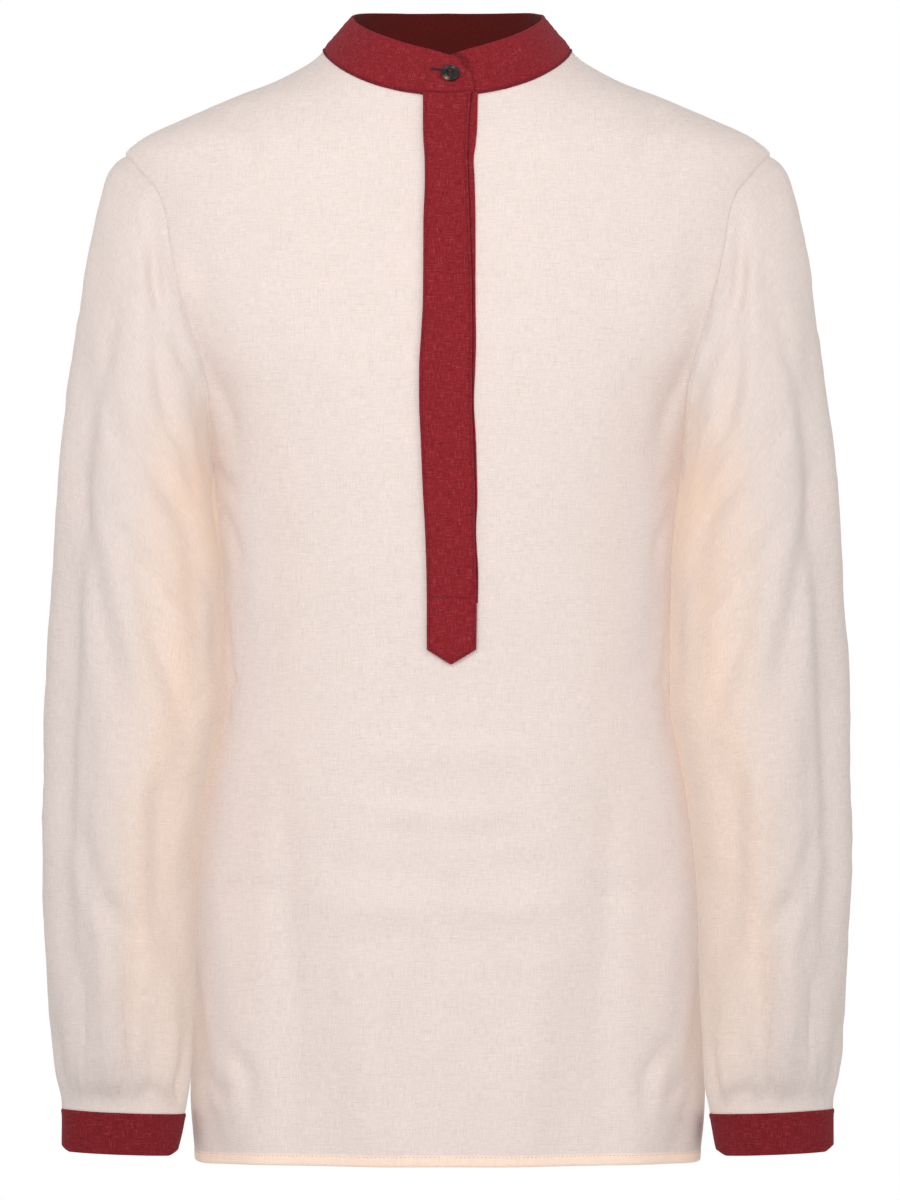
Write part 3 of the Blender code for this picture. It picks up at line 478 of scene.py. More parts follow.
def panelHalf(onBack):  # a grid from the panel's middle to its side, and from the hem up
    seam, neckAngle = shoulderSeam(panelMesh["shoulderShares"])
    slitAngle = math.asin(bodyShape["slitHalf"] / bodyShape["neckHalfWidth"])
    neck = neckRing(np.linspace(math.pi if onBack else slitAngle, neckAngle, lineSteps + 1))
    columns = panelMesh["backNeckColumns" if onBack else "frontNeckColumns"]
    neck = resampled(np.stack(neck, axis=1), np.linspace(0, 1, columns + 1))
    top = np.concatenate([neck[:-1], seam])
    corner, armhole, overRidge = shoulderCorner()
    if onBack:
        armhole = np.concatenate([armholeLine(onBack=True), overRidge[-2::-1], [corner]])
    low, chest = panelRows()[0], panelMesh["chestShares"]
    outer = np.concatenate([np.stack([toSide(low), low], axis=1), resampled(armhole, chest)[1:]])
    rise = bodyShape["armpit"] + chest[1:] * (top[0, 1] - bodyShape["armpit"])
    heights = np.concatenate([low, rise])
    shares = measured(top) / measured(top)[-1]
    if onBack:
        inner = np.stack([toBack(heights), heights], axis=1)
        lines = [fromBack(line) for line in (inner, outer, top)]
        return fromBack(blended(*lines, shares, len(low)))
    inner = np.stack([np.full(len(heights), bodyShape["slitHalf"]), heights], axis=1)
    inner[-1, 0] = top[0, 0]
    return blended(inner, outer, top, shares, len(low))


# Meshes
def gridNormals(points, closedAround=False):
    if closedAround:
        across = np.roll(points, -1, axis=1) - np.roll(points, 1, axis=1)
    else:
        across = np.gradient(points, axis=1)
    return unit(np.cross(across, np.gradient(points, axis=0)))


def mirrored(grid):
    other = grid.copy()
    other[..., 0] *= -1
    return other


def gridFaces(shape, cells, closedAround):
    rows, across = shape
    i, j = np.nonzero(cells)
    k = (j + 1) % across
    ring = np.stack([i * across + j, i * across + k, (i + 1) * across + k, (i + 1) * across + j], axis=1)
    beside = np.pad(cells, 1)
    if closedAround:
        beside[1:-1, 0], beside[1:-1, -1] = cells[:, -1], cells[:, 0]
    count = rows * across
    rims = []
    for side, (down, right) in enumerate(((-1, 0), (0, 1), (1, 0), (0, -1))):
        bare = ~beside[i + 1 + down, j + 1 + right]
        a, b = ring[bare, side], ring[bare, (side + 1) % 4]
        rims.append(np.stack([b, a, a + count, b + count], axis=1))
    return np.concatenate([ring, ring[:, ::-1] + count] + rims), len(ring)


def clothShell(name, outer, inner, cloth, finishes, tints, closedAround=False, cells=None):
    rows, across = outer.shape[:2]
    if cells is None:
        cells = np.ones((rows - 1, across if closedAround else across - 1), bool)
    faces, outerCount = gridFaces((rows, across), cells, closedAround)
    points = np.concatenate([outer.reshape(-1, 3), inner.reshape(-1, 3)])
    mesh = bpy.data.meshes.new(name)
    mesh.from_pydata(points.tolist(), [], faces.tolist())
    uv = np.concatenate([cloth.reshape(-1, 2)] * 2)[faces.ravel()]
    if closedAround:  # the last column's far corners lie one step further on
        column = faces % across
        wraps = (column.min(axis=1) == 0) & (column.max(axis=1) == across - 1)
        far = (wraps[:, None] & (column == 0)).ravel()
        beyond = 2 * cloth[:, -1, 0] - cloth[:, -2, 0]
        uv[far, 0] = beyond[(faces.ravel()[far] % (rows * across)) // across]
    mesh.uv_layers.new(name="cloth").data.foreach_set("uv", uv.astype(np.float32).ravel())
    for tone in ("warmth", "shade", "glow"):  # read by the finishes as painted light and painted shade
        values = tints.get(tone, np.zeros((rows, across))).ravel()
        layer = mesh.attributes.new(tone, "FLOAT", "POINT")
        layer.data.foreach_set("value", np.concatenate([values, values]).astype(np.float32))
    for finish in finishes:
        mesh.materials.append(finish)
    if len(finishes) > 1:  # the second finish is for the inner side
        look = np.zeros(len(faces), np.int32)
        look[outerCount : 2 * outerCount] = 1
        mesh.polygons.foreach_set("material_index", look)
    if not cells.all():
        edit = bmesh.new()
        edit.from_mesh(mesh)
        bmesh.ops.delete(edit, geom=[v for v in edit.verts if not v.link_faces], context="VERTS")
        edit.to_mesh(mesh)
        edit.free()
    return placed(name, mesh)


def linked(name, data):
    made = bpy.data.objects.new(name, data)
    bpy.context.scene.collection.objects.link(made)
    return made


def meshFrom(edit, name):
    mesh = bpy.data.meshes.new(name)
    edit.to_mesh(mesh)
    edit.free()
    return mesh


def placed(name, mesh):
    mesh.shade_smooth()
    mesh.set_sharp_from_angle(angle=math.radians(55))
    return linked(name, mesh)


def distanceFrom(points, axis, last=False):  # along the cloth from the grid's first or last line
    step = np.linalg.norm(np.diff(points, axis=axis), axis=-1)
    if last:
        step = np.flip(step, axis)
    length = np.concatenate([np.zeros_like(np.take(step, [0], axis)), np.cumsum(step, axis=axis)], axis=axis)
    return np.flip(length, axis) if last else length


def roundedEdge(distance, radius):  # share of the thickness that is left near an edge
    return np.sqrt(np.clip(1 - (1 - np.clip(distance / radius, 0, 1)) ** 2, 0.02, 1))


def layers(middle, facing, thickness, share):
    half = (thickness / 2 * share)[..., None]
    return middle + facing * half, middle - facing * half


# Sewing: each stitch is a short thread that dips into the cloth at both ends
threadForm = {
    "sides": 6,
    "rings": 7,
    "slide": 0.04,  # unevenness of place, direction and thickness
    "tilt": 0.05,
    "swell": 0.06,
    "rise": 0.55,
    "dip": 1.5,
}


def stitchRow(name, points, facing, look, finish):
    points, facing = np.asarray(points, float), np.asarray(facing, float)
    length = np.concatenate([[0], np.cumsum(np.linalg.norm(np.diff(points, axis=0), axis=1))])
    starts = np.arange(look["pitch"] * 0.3, length[-1] - look["thread"], look["pitch"])
    uneven = np.random.default_rng(look["seed"]).normal(0, 1, (len(starts), 3))
    sides, rings = threadForm["sides"], np.linspace(-1, 1, threadForm["rings"])
    vertices, faces = [], []
    for start, (slide, tilt, size) in zip(starts, uneven):
        middle = start + look["thread"] / 2 + threadForm["slide"] * slide * look["pitch"]
        at = np.array([np.interp(middle, length, points[:, k]) for k in range(3)])
        ahead = np.array([np.interp(middle + 0.0005, length, points[:, k]) for k in range(3)]) - at
        out = unit(np.array([np.interp(middle, length, facing[:, k]) for k in range(3)]))
        run = unit(ahead - out * ahead.dot(out))
        across = np.cross(out, run)
        run = unit(run + across * threadForm["tilt"] * tilt)
        across = np.cross(out, run)
        first = len(vertices)
        for ring in rings:
            thick = look["radius"] * math.sqrt(max(1 - ring**4, 0.03)) * (1 + threadForm["swell"] * size)
            above = threadForm["rise"] - threadForm["dip"] * ring**4
            centre = at + run * ring * look["thread"] / 2 + out * look["radius"] * above
            for turn in np.linspace(0, 2 * math.pi, sides, endpoint=False):
                vertices.append(centre + thick * (math.cos(turn) * across + math.sin(turn) * out))
        for low in range(first, first + (len(rings) - 1) * sides, sides):
            for side in range(sides):
                a, b = low + side, low + (side + 1) % sides
                faces.append((a, b, b + sides, a + sides))
        faces.append([first + side for side in reversed(range(sides))])
        faces.append([first + (len(rings) - 1) * sides + side for side in range(sides)])
    mesh = bpy.data.meshes.new(name)
    mesh.from_pydata([tuple(v) for v in vertices], [], faces)
    mesh.materials.append(finish)
    return placed(name, mesh)


# Finishes
def addNode(tree, kind, inputs=None, **settings):
    node = tree.nodes.new(kind)
    for key, value in settings.items():
        setattr(node, key, value)
    for key, value in (inputs or {}).items():
        if isinstance(value, bpy.types.NodeSocket):
            tree.links.new(value, node.inputs[key])
        else:
            node.inputs[key].default_value = value
    return node


def newFinish(name):
    finish = bpy.data.materials.new(name)
    finish.use_nodes = True
    tree = finish.node_tree
    return finish, tree, tree.nodes["Principled BSDF"]


def mixed(tree, blend, factor, first, second):
    inputs = {0: factor, 6: first, 7: second}
    return addNode(tree, "ShaderNodeMix", inputs, data_type="RGBA", blend_type=blend).outputs[2]


def arithmetic(tree, operation, first, second):
    return addNode(tree, "ShaderNodeMath", {0: first, 1: second}, operation=operation).outputs[0]


def streaks(tree, cloth, scale, detail, offset):  # noise drawn out along one thread direction
    placing = {"Vector": cloth, "Scale": (*scale, 1), "Location": (*offset, 0)}
    spot = addNode(tree, "ShaderNodeMapping", placing).outputs[0]
    return addNode(tree, "ShaderNodeTexNoise", {"Vector": spot, "Scale": 1.0, "Detail": detail}).outputs[0]


def ranged(tree, value, low, high, toLow, toHigh):
    node = addNode(tree, "ShaderNodeMapRange", {0: value, 1: low, 2: high, 3: toLow, 4: toHigh})
    return node.outputs[0]


def linenFinish(look):
    finish, tree, shader = newFinish(look["name"])
    cloth = addNode(tree, "ShaderNodeUVMap", uv_map="cloth").outputs[0]

    def bothWays(width, length, detail, offsets):  # streaks along the threads of each direction
        scales = ((1 / width, 1 / length), (1 / length, 1 / width))
        return [streaks(tree, cloth, scale, detail, offset) for scale, offset in zip(scales, offsets)]

    def added(values):
        return arithmetic(tree, "ADD", *values)

    def times(value, share):
        return arithmetic(tree, "MULTIPLY", value, share)

    def attribute(tone):
        return addNode(tree, "ShaderNodeAttribute", attribute_name=tone).outputs["Fac"]

    slubs = bothWays(look["slubWidth"], look["slubLength"], 2.0, ((3.1, 7.7), (11.3, 5.9)))
    fine = added(bothWays(look["threadPitch"], look["slubLength"] * 0.3, 1.0, ((1.7, 2.3), (8.8, 4.2))))
    clouds = bothWays(look["cloudSize"], look["cloudSize"], 3.0, ((0.4, 9.1),))[0]

    # the darkest and the lightest threads stand out, and the rest stay near the plain colour
    thick = added([ranged(tree, slub, *look["thickRange"], 0, 1) for slub in slubs])
    thin = added([ranged(tree, slub, *look["thinRange"], 0, 1) for slub in slubs])

    cloudiness = ranged(tree, clouds, 0.3, 0.7, 0, look["cloudShare"])
    colour = mixed(tree, "MIX", cloudiness, look["plain"], look["cloudy"])
    colour = mixed(tree, "MIX", times(thick, look["slubShare"]), colour, look["light"])
    colour = mixed(tree, "MIX", times(thin, look["slubShare"]), colour, look["dark"])
    fineTone = ranged(tree, fine, *look["fineRange"], 1 - look["fineShare"], 1 + look["fineShare"])
    tone = addNode(tree, "ShaderNodeCombineColor", {0: fineTone, 1: fineTone, 2: fineTone}).outputs[0]
    colour = mixed(tree, "MULTIPLY", 1.0, colour, tone)
    for tone in ("warmth", "shade"):  # how far each part of a piece takes the look's two tints, painted warm light and painted shade
        colour = mixed(tree, "MULTIPLY", attribute(tone), colour, look[tone])
    tree.links.new(colour, shader.inputs["Base Color"])
    if look["glowStrength"]:  # painted light: an emission that stands in for light coming through the cloth
        warm = ranged(tree, attribute("warmth"), 0, look["glowWarmFrom"], 0, 1)
        glowColour = mixed(tree, "MIX", warm, look["glowPlain"], look["glowWarm"])
        tree.links.new(glowColour, shader.inputs["Emission Color"])
        tree.links.new(times(attribute("glow"), look["glowStrength"]), shader.inputs["Emission Strength"])
    rough = ranged(tree, fine, *look["fineRange"], look["roughness"] - 0.06, look["roughness"] + 0.06)
    tree.links.new(rough, shader.inputs["Roughness"])

    # the plain weave: every thread goes over one and under the next
    turn = 2 * math.pi / (2 * look["threadPitch"])
    parts = addNode(tree, "ShaderNodeSeparateXYZ", {0: cloth}).outputs
    waves = [arithmetic(tree, "SINE", times(parts[k], turn), 0.0) for k in range(2)]
    raised = arithmetic(tree, "SUBTRACT", thick, times(thin, look["thinHeight"]))
    height = added([times(times(*waves), look["weaveHeight"]), raised])
    height = added([height, times(fine, look["fineHeight"])])
    bump = addNode(tree, "ShaderNodeBump", {"Strength": 1.0, "Distance": look["bump"], "Height": height})
    tree.links.new(bump.outputs[0], shader.inputs["Normal"])
    shader.inputs["Sheen Weight"].default_value = look["sheen"]
    shader.inputs["Sheen Roughness"].default_value = look["sheenRoughness"]
    shader.inputs["Specular IOR Level"].default_value = look["specular"]
    return finish


creamLook = {
    "name": "creamLinen",
    "plain": (0.830, 0.716, 0.664, 1),
    "cloudy": (0.795, 0.684, 0.634, 1),
    "light": (0.930, 0.832, 0.785, 1),
    "dark": (0.720, 0.604, 0.552, 1),
    "warmth": (1.03, 0.84, 0.66, 1),  # the two tints, where a piece's attributes ask for them: painted warm light through the cloth, and painted shade
    "shade": (0.78, 0.785, 0.80, 1),
    # painted light: colours and strength of the emission glow that stands in for light through the cloth
    "glowPlain": (0.18, 0.68, 1.0, 1),
    "glowWarm": (1.0, 0.67, 0.46, 1),
    "glowWarmFrom": 0.2,  # the warmth at which the glow is fully warm
    "glowStrength": 0.22,
    "thickRange": (0.56, 0.80),  # of the noise, for light threads, dark threads and the fine grain
    "thinRange": (0.44, 0.22),
    "fineRange": (0.6, 1.4),
    "slubWidth": 0.0007,
    "slubLength": 0.019,
    "threadPitch": 0.00055,
    "cloudSize": 0.040,
    "cloudShare": 0.5,
    "slubShare": 0.56,
    "fineShare": 0.080,
    "roughness": 0.88,
    "sheen": 0.10,
    "sheenRoughness": 0.45,
    "specular": 0.25,
    "bump": 0.00012,
    "weaveHeight": 0.30,  # shares of the bump
    "thinHeight": 0.6,
    "fineHeight": 0.5,
}
redLook = dict(
    creamLook,
    name="redLinen",
    plain=(0.258, 0.0145, 0.0215, 1),
    cloudy=(0.222, 0.0120, 0.0175, 1),
    light=(0.400, 0.056, 0.068, 1),
    dark=(0.140, 0.0060, 0.0090, 1),
    # painted shade: on the red, the warm tint darkens the cuffs, and the shade tint darkens the collar and
    # placket
    warmth=(0.74, 0.76, 0.72, 1),
    shade=(0.30, 0.26, 0.28, 1),
    glowStrength=0,
    slubLength=0.0060,
    slubWidth=0.00065,
    fineShare=0.32,
    slubShare=0.85,
    sheen=0.04,
    specular=0.15,
)
# painted shade: a darker copy of the red linen for the inner faces of the collar and cuffs, standing in for
# the shade inside
shadedInsideLook = dict(
    redLook,
    name="redLinenShadedInside",
    plain=(0.090, 0.0065, 0.0060, 1),
    cloudy=(0.082, 0.0060, 0.0055, 1),
    light=(0.105, 0.0090, 0.0085, 1),
    dark=(0.072, 0.0050, 0.0045, 1),
    slubShare=0.3,
)


def threadFinish(name, colour, roughness):
    finish, tree, shader = newFinish(name)
    place = addNode(tree, "ShaderNodeTexCoord").outputs["Object"]
    noise = addNode(tree, "ShaderNodeTexNoise", {"Vector": place, "Scale": 1400.0, "Detail": 1.0}).outputs[0]
    lighter = tuple(min(1, 1.25 * part) for part in colour) + (1,)
    darker = tuple(0.78 * part for part in colour) + (1,)
    tree.links.new(mixed(tree, "MIX", noise, darker, lighter), shader.inputs["Base Color"])
    bump = addNode(tree, "ShaderNodeBump", {"Strength": 0.6, "Distance": 0.00004, "Height": noise})
    tree.links.new(bump.outputs[0], shader.inputs["Normal"])
    shader.inputs["Roughness"].default_value = roughness
    return finish


def hornFinish(look):
    finish, tree, shader = newFinish("darkHorn")
    place = addNode(tree, "ShaderNodeTexCoord").outputs["Object"]
    grain = {"Vector": place, "Scale": look["grainScale"], "Detail": 3.0, "Distortion": 0.8}
    grain = addNode(tree, "ShaderNodeTexNoise", grain).outputs[0]
    toPatch = {0: place, 1: look["patchMiddle"]}
    fromPatch = addNode(tree, "ShaderNodeVectorMath", toPatch, operation="DISTANCE").outputs["Value"]
    ragged = arithmetic(tree, "ADD", fromPatch, arithmetic(tree, "MULTIPLY", grain, look["patchRagged"]))
    patch = ranged(tree, ragged, *look["patchEdge"], 0, 1)
    colour = mixed(tree, "MIX", ranged(tree, grain, 0.35, 0.7, 0, 1), look["dark"], look["grey"])
    colour = mixed(tree, "MIX", patch, colour, look["brown"])
    tree.links.new(colour, shader.inputs["Base Color"])
    tree.links.new(ranged(tree, grain, 0.3, 0.7, *look["roughness"]), shader.inputs["Roughness"])
    bump = addNode(tree, "ShaderNodeBump", {"Strength": 0.3, "Distance": look["bump"], "Height": grain})
    tree.links.new(bump.outputs[0], shader.inputs["Normal"])
    shader.inputs["Specular IOR Level"].default_value = look["specular"]
    return finish


creamLinen = linenFinish(creamLook)
redLinen = linenFinish(redLook)
redLinenShadedInside = linenFinish(shadedInsideLook)
creamThread = threadFinish("creamThread", (0.62, 0.50, 0.43), 0.7)
redThread = threadFinish("redThread", (0.110, 0.007, 0.010), 0.7)
# painted shadow: a near-black finish for the bar that stands in for the shade in the buttonhole's slit
slitDark = threadFinish("slitShadow", (0.014, 0.003, 0.003), 0.9)
print("finishes made")


# Front and back
def finishPiece(piece, node, slot):
    if slot == "cream_linen":  # thin enough to let the studio's light through
        piece.visible_shadow = False
        piece.visible_diffuse = "sleeve" in node
    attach(piece, "root")
    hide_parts(node)


def onSeam(distance):  # how far the cloth rolls in towards a seam
    return -bodyFolds["seamDepth"] * (1 - smooth(distance / bodyFolds["seamWidth"]))


def panelLayers(grid):
    points = body(grid[..., 0], grid[..., 1])
    facing = gridNormals(points)
    toSeams = [distanceFrom(points, axis, last) for axis, last in ((0, True), (1, False), (1, True))]
    seam = onSeam(np.minimum.reduce(toSeams))
    fromHem = distanceFrom(points, 0)
    pastBand = fromHem - bodyFolds["hemBand"]
    band = 1 - smooth((pastBand + 0.0002) / bodyFolds["bandEase"])
    pulled = bodyFolds["stitchPull"] * bell((pastBand + 0.0006) / 0.0007)
    thickness = bodyFolds["thickness"] * (1 + bodyFolds["bandThicker"] * band)
    middle = points + facing * (seam - pulled - bodyFolds["thickness"] / 2)[..., None]
    outer, inner = layers(middle, facing, thickness, roundedEdge(fromHem, 0.0008))
    return outer, inner, panelTints(band, points, facing)


# painted light on the front and back: warm tint and glow at the hem band and where the cloth faces sideways
panelLight = {
    "hemWarmth": 0.40,
    "hemGlow": 0.75,
    "besideGlow": 0.34,
    "besideFacing": (0.55, 0.95),  # how far the cloth faces sideways where it starts, and where it is full
    "besideTop": (-0.20, -0.30),
    "besideFoot": (-0.67, -0.53),
}


def ramp(bounds, at):  # up from 0 to 1 between two bounds, in either direction
    return smooth((at - bounds[0]) / (bounds[1] - bounds[0]))


def panelTints(band, points, facing):  # painted light: a warm tint and a glow stand in for light coming through the cloth beside the sleeves and at the hem
    height, look = points[..., 2], panelLight
    beside = ramp(look["besideFacing"], np.abs(facing[..., 0]))
    beside = beside * ramp(look["besideTop"], height) * ramp(look["besideFoot"], height)
    glow = np.maximum(look["besideGlow"] * beside, look["hemGlow"] * band)
    return {"warmth": look["hemWarmth"] * band, "glow": glow}


def makeFront():
    half = panelHalf(onBack=False)
    columns = panelMesh["centreColumns"]
    centre = np.stack([half[:, 0] * [share, 1] for share in np.linspace(-1, 1, columns + 1)[1:-1]], axis=1)
    grid = np.concatenate([mirrored(half)[:, ::-1], centre, half], axis=1)
    outer, inner, tints = panelLayers(grid)
    cells = np.ones((grid.shape[0] - 1, grid.shape[1] - 1), bool)
    first = half.shape[1] - 1
    cells[panelRows()[1] :, first : first + columns] = False
    front = clothShell("frontPanel", outer, inner, grid, [creamLinen], tints, cells=cells)
    finishPiece(front, "front", "cream_linen")


def makeBack():
    half = panelHalf(onBack=True)
    grid = np.concatenate([half[:, ::-1], mirrored(half)[:, 1:]], axis=1)
    outer, inner, tints = panelLayers(grid)
    cloth = grid.copy()
    full = toBack(grid[..., 1]) * 2
    cloth[..., 0] = np.where(grid[..., 0] < 0, full + grid[..., 0], grid[..., 0])
    back = clothShell("backPanel", outer, inner, cloth, [creamLinen], tints)
    finishPiece(back, "back", "cream_linen")


makeFront()
makeBack()
print("front and back made")

# Sleeves
sleeveCut = {
    # share along, outer x, outer height, gap beside the body, inner height, middle y, half depth
    "rings": [
        (0.00, 0.2035, -0.0635, 0.0000, -0.262, 0.000, 0.0570),
        (0.025, 0.2095, -0.0690, 0.0012, -0.264, -0.001, 0.0580),
        (0.05, 0.2150, -0.0800, 0.0024, -0.267, -0.002, 0.0590),
        (0.08, 0.2200, -0.0980, 0.0034, -0.272, -0.008, 0.0600),
        (0.16, 0.2280, -0.1450, 0.0045, -0.287, -0.018, 0.0610),
        (0.28, 0.2360, -0.2050, 0.0036, -0.313, -0.030, 0.0620),
        (0.40, 0.2435, -0.2760, 0.0030, -0.352, -0.037, 0.0620),
        (0.52, 0.2488, -0.3720, 0.0030, -0.409, -0.040, 0.0620),
        (0.64, 0.2514, -0.4500, 0.0030, -0.468, -0.042, 0.0620),
        (0.76, 0.2524, -0.5180, 0.0030, -0.526, -0.042, 0.0600),
        (0.86, 0.2500, -0.5760, 0.0030, -0.580, -0.042, 0.0560),
        (0.94, 0.2460, -0.6240, 0.0032, -0.627, -0.041, 0.0470),
        (1.00, 0.2410, -0.6625, 0.0060, -0.6655, -0.040, 0.0285),
    ],
    # start degrees, start share, end degrees, end share, width, depth, as on the solid
    "folds": [
        (46, 0.05, 42, 0.92, 9, -0.0030),
        (58, 0.50, 66, 0.86, 8, -0.0022),
        (74, 0.76, 98, 0.85, 9, -0.0032),
        (97, 0.83, 92, 1.04, 8, -0.0026),
        (112, 0.58, 124, 0.84, 10, -0.0024),
        (128, 0.12, 136, 0.52, 13, -0.0026),
        (20, 0.24, 22, 0.90, 10, 0.0016),
        (-34, 0.10, -48, 0.80, 11, -0.0030),
        (-80, 0.30, -74, 0.95, 11, 0.0024),
        (-108, 0.15, -122, 0.75, 13, -0.0028),
        (-70, 0.74, -98, 0.90, 11, -0.0028),
    ],
    "pleats": 9,
    "pleatDepth": 0.0018,
    "pleatReach": 0.16,
    "settling": 0.34,  # share along where the armhole's outline has become the sleeve's own
    # finer creases: path of (degrees, share), width, depth
    "creases": [
        ([(20, 0.168), (36, 0.315), (38, 0.412), (37, 0.540), (44, 0.665), (57, 0.805)], 0.0117, -0.0044),
        ([(38, 0.368), (56, 0.428), (64, 0.465), (78, 0.530), (81, 0.585)], 0.0088, -0.0035),
        ([(78, 0.380), (90, 0.418), (99, 0.452), (108, 0.483), (122, 0.528), (132, 0.572)], 0.0088, -0.0044),
        ([(88, 0.396), (102, 0.437), (113, 0.462)], 0.0068, -0.0022),
        ([(130, 0.572), (126, 0.620), (124, 0.690), (131, 0.768), (141, 0.833), (165, 0.880)], 0.011, -0.003),
        (
            [(58, 0.690), (74, 0.753), (88, 0.787), (98, 0.813), (98, 0.868), (94, 0.922), (90, 1.0)],
            0.0083, -0.0040,
        ),
        ([(47, 0.750), (53, 0.838), (57, 0.885), (44, 1.0)], 0.0078, -0.0030),
        ([(97, 0.815), (97, 0.880), (95, 0.940), (93, 0.998)], 0.0017, -0.0018),
        ([(60, 0.862), (57, 0.930), (55, 0.998)], 0.0017, -0.0012),
        ([(76, 0.040), (82, 0.095), (96, 0.145), (111, 0.190)], 0.0117, -0.0035),
        ([(60, 0.300), (96, 0.274), (134, 0.277)], 0.0175, -0.0035),
        ([(92, 0.398), (120, 0.410), (150, 0.398)], 0.0099, -0.0035),
        ([(104, 0.992), (116, 0.978), (136, 0.984)], 0.0051, -0.0024),
        ([(46, 0.012), (62, 0.045), (78, 0.070)], 0.0099, -0.0026),
        ([(162, 0.915), (154, 0.960), (146, 1.0)], 0.0078, -0.0029),
        ([(150, 0.350), (165, 0.420), (160, 0.500)], 0.0117, -0.0030),
        ([(100, 0.620), (104, 0.690), (112, 0.760)], 0.0117, 0.0020),
        ([(18, 0.420), (24, 0.540), (20, 0.660)], 0.0138, -0.0024),
        ([(-16, 0.200), (-22, 0.380), (-18, 0.560)], 0.0138, -0.0036),
        ([(-40, 0.140), (-52, 0.300), (-50, 0.450), (-60, 0.620)], 0.0117, -0.0060),
        ([(-72, 0.390), (-95, 0.450), (-112, 0.510), (-130, 0.575)], 0.0094, -0.0056),
        ([(-56, 0.430), (-68, 0.500), (-80, 0.560)], 0.0088, -0.0040),
        ([(-122, 0.590), (-114, 0.700), (-126, 0.810), (-154, 0.880)], 0.0099, -0.0056),
        ([(-56, 0.690), (-76, 0.765), (-90, 0.830), (-86, 0.920), (-84, 1.0)], 0.0086, -0.0052),
        ([(-30, 0.760), (-38, 0.860), (-46, 1.0)], 0.0083, -0.0042),
        ([(-88, 0.050), (-100, 0.120), (-120, 0.185)], 0.0117, -0.0049),
        ([(-66, 0.295), (-100, 0.272), (-134, 0.285)], 0.0175, -0.0047),
        ([(-96, 0.402), (-124, 0.412), (-152, 0.398)], 0.0099, -0.0042),
    ],
    # short creases drawn up from the cuff, and shorter ones where the sleeve is set into the armhole:
    # count, seed, share where they start, share they reach, width, depth
    "gathers": [
        (34, 21, 1.004, (-0.075, -0.025), (0.0016, 0.0028), (-0.0009, -0.0004)),
        (16, 41, 0.0, (0.020, 0.045), (0.0020, 0.0036), (-0.0006, -0.0002)),
    ],
    # small unevenness: height, how far it leans across and along, size across and along, seed
    "uneven": [(0.00110, 0.35, -0.35, 0.021, 0.026, 31), (0.00045, -0.8, 0.6, 0.010, 0.012, 32)],
    "round": 0.052,  # metres of cloth to a radian
    "long": 0.600,
    "columns": 132,
    "rows": 176,
    "thickness": 0.0010,
    "cuffFrom": 0.966,  # share along from which it is drawn in to the cuff's own size
    "cuffReach": 0.032,
    # the back of the sleeve fills the space beside the body: degrees, shares along, space left
    "tuckDegrees": (178, 194, 238, 272),
    "tuckAlong": (0.03, 0.09, 0.86, 0.985),
    "tuckGap": 0.0004,
}


def halfTurned(angle):  # the same angle between minus and plus half a turn
    return np.mod(angle + math.pi, 2 * math.pi) - math.pi


def besideBody(y, height):  # how far out the body reaches at a distance behind the middle
    width, front, back, square = (fromRows(bodyShape["sections"], k, height) for k in (1, 2, 3, 4))
    share = np.clip(np.abs(y) / np.where(y < 0, front, back), 0, 1)
    return width * (1 - share**square) ** (1 / square)


def sleeveRing(angle, along):  # outer line at angle 0, front at a quarter turn
    outerX, outerHeight, gap, innerHeight, middleY, halfDepth = (
        fromRows(sleeveCut["rings"], k, along) for k in range(1, 7)
    )
    innerX = besideBody(middleY, innerHeight) + gap
    outer = np.stack([outerX, middleY, outerHeight], axis=-1)
    inner = np.stack([innerX, middleY, innerHeight], axis=-1)
    turn = np.sin(angle)[..., None] * np.array([0, -1.0, 0])
    return (outer + inner) / 2 + (outer - inner) / 2 * np.cos(angle)[..., None] + halfDepth[..., None] * turn


def armholeRing():  # the armhole by angle from the ridge over the front, and the body's facing there
    down, up = armholeLine(onBack=False)[::-1], armholeLine(onBack=True)
    turn = np.linspace(0, 2, 361)
    lines = []
    for k in range(2):
        inFront = np.interp(turn, measured(down) / measured(down)[-1], down[:, k])
        behind = np.interp(turn - 1, measured(up) / measured(up)[-1], up[:, k])
        lines.append(np.where(turn < 1, inFront, behind))
    return turn * math.pi, body(*lines), bodyNormal(*lines)


armholeAngles, armholePoints, armholeFacing = armholeRing()


def atArmhole(angle, values):
    turn = np.mod(angle, 2 * math.pi)
    return np.stack([np.interp(turn, armholeAngles, values[:, k]) for k in range(3)], axis=-1)


def between(bounds, at):  # up from 0 to 1 between the first two bounds, down between the last two
    start, full, falling, end = bounds
    return smooth((at - start) / (full - start)) * smooth((end - at) / (end - falling))


def drawnBeside(points, angle, along):  # the back of the sleeve fills the space beside the body
    space = points[..., 0] - besideBody(points[..., 1], points[..., 2]) - sleeveCut["tuckGap"]
    drawn = between(sleeveCut["tuckDegrees"], np.degrees(np.mod(angle, 2 * math.pi)))
    points[..., 0] -= np.clip(space, 0, None) * drawn * between(sleeveCut["tuckAlong"], along)
    return points


def bareSleeve(angle, along):
    fromArmhole = atArmhole(angle, armholePoints) - sleeveRing(angle, np.zeros(angle.shape))
    fade = (1 - smooth(along / sleeveCut["settling"]))[..., None]
    points = sleeveRing(angle, along) + fromArmhole * fade
    return drawnBeside(points, angle, along)


def shortCreases(count, seed, end, reach, width, depth):  # uneven gathers round one end of the sleeve
    chance = np.random.default_rng(seed)
    made = []
    for k in range(count):
        degrees = -180 + 360 * (k + chance.uniform(0.15, 0.85)) / count
        long = chance.uniform(*reach)
        lean = chance.uniform(-5, 5)
        path = [(degrees, end), (degrees + lean * 0.4, end + long * 0.5), (degrees + lean, end + long)]
        made.append((path, chance.uniform(*width), chance.uniform(*depth)))
    return made


def inCloth(creases):
    scale = np.array([math.radians(1) * sleeveCut["round"], sleeveCut["long"]])
    return [(np.array(path) * scale, width, depth) for path, width, depth in creases]


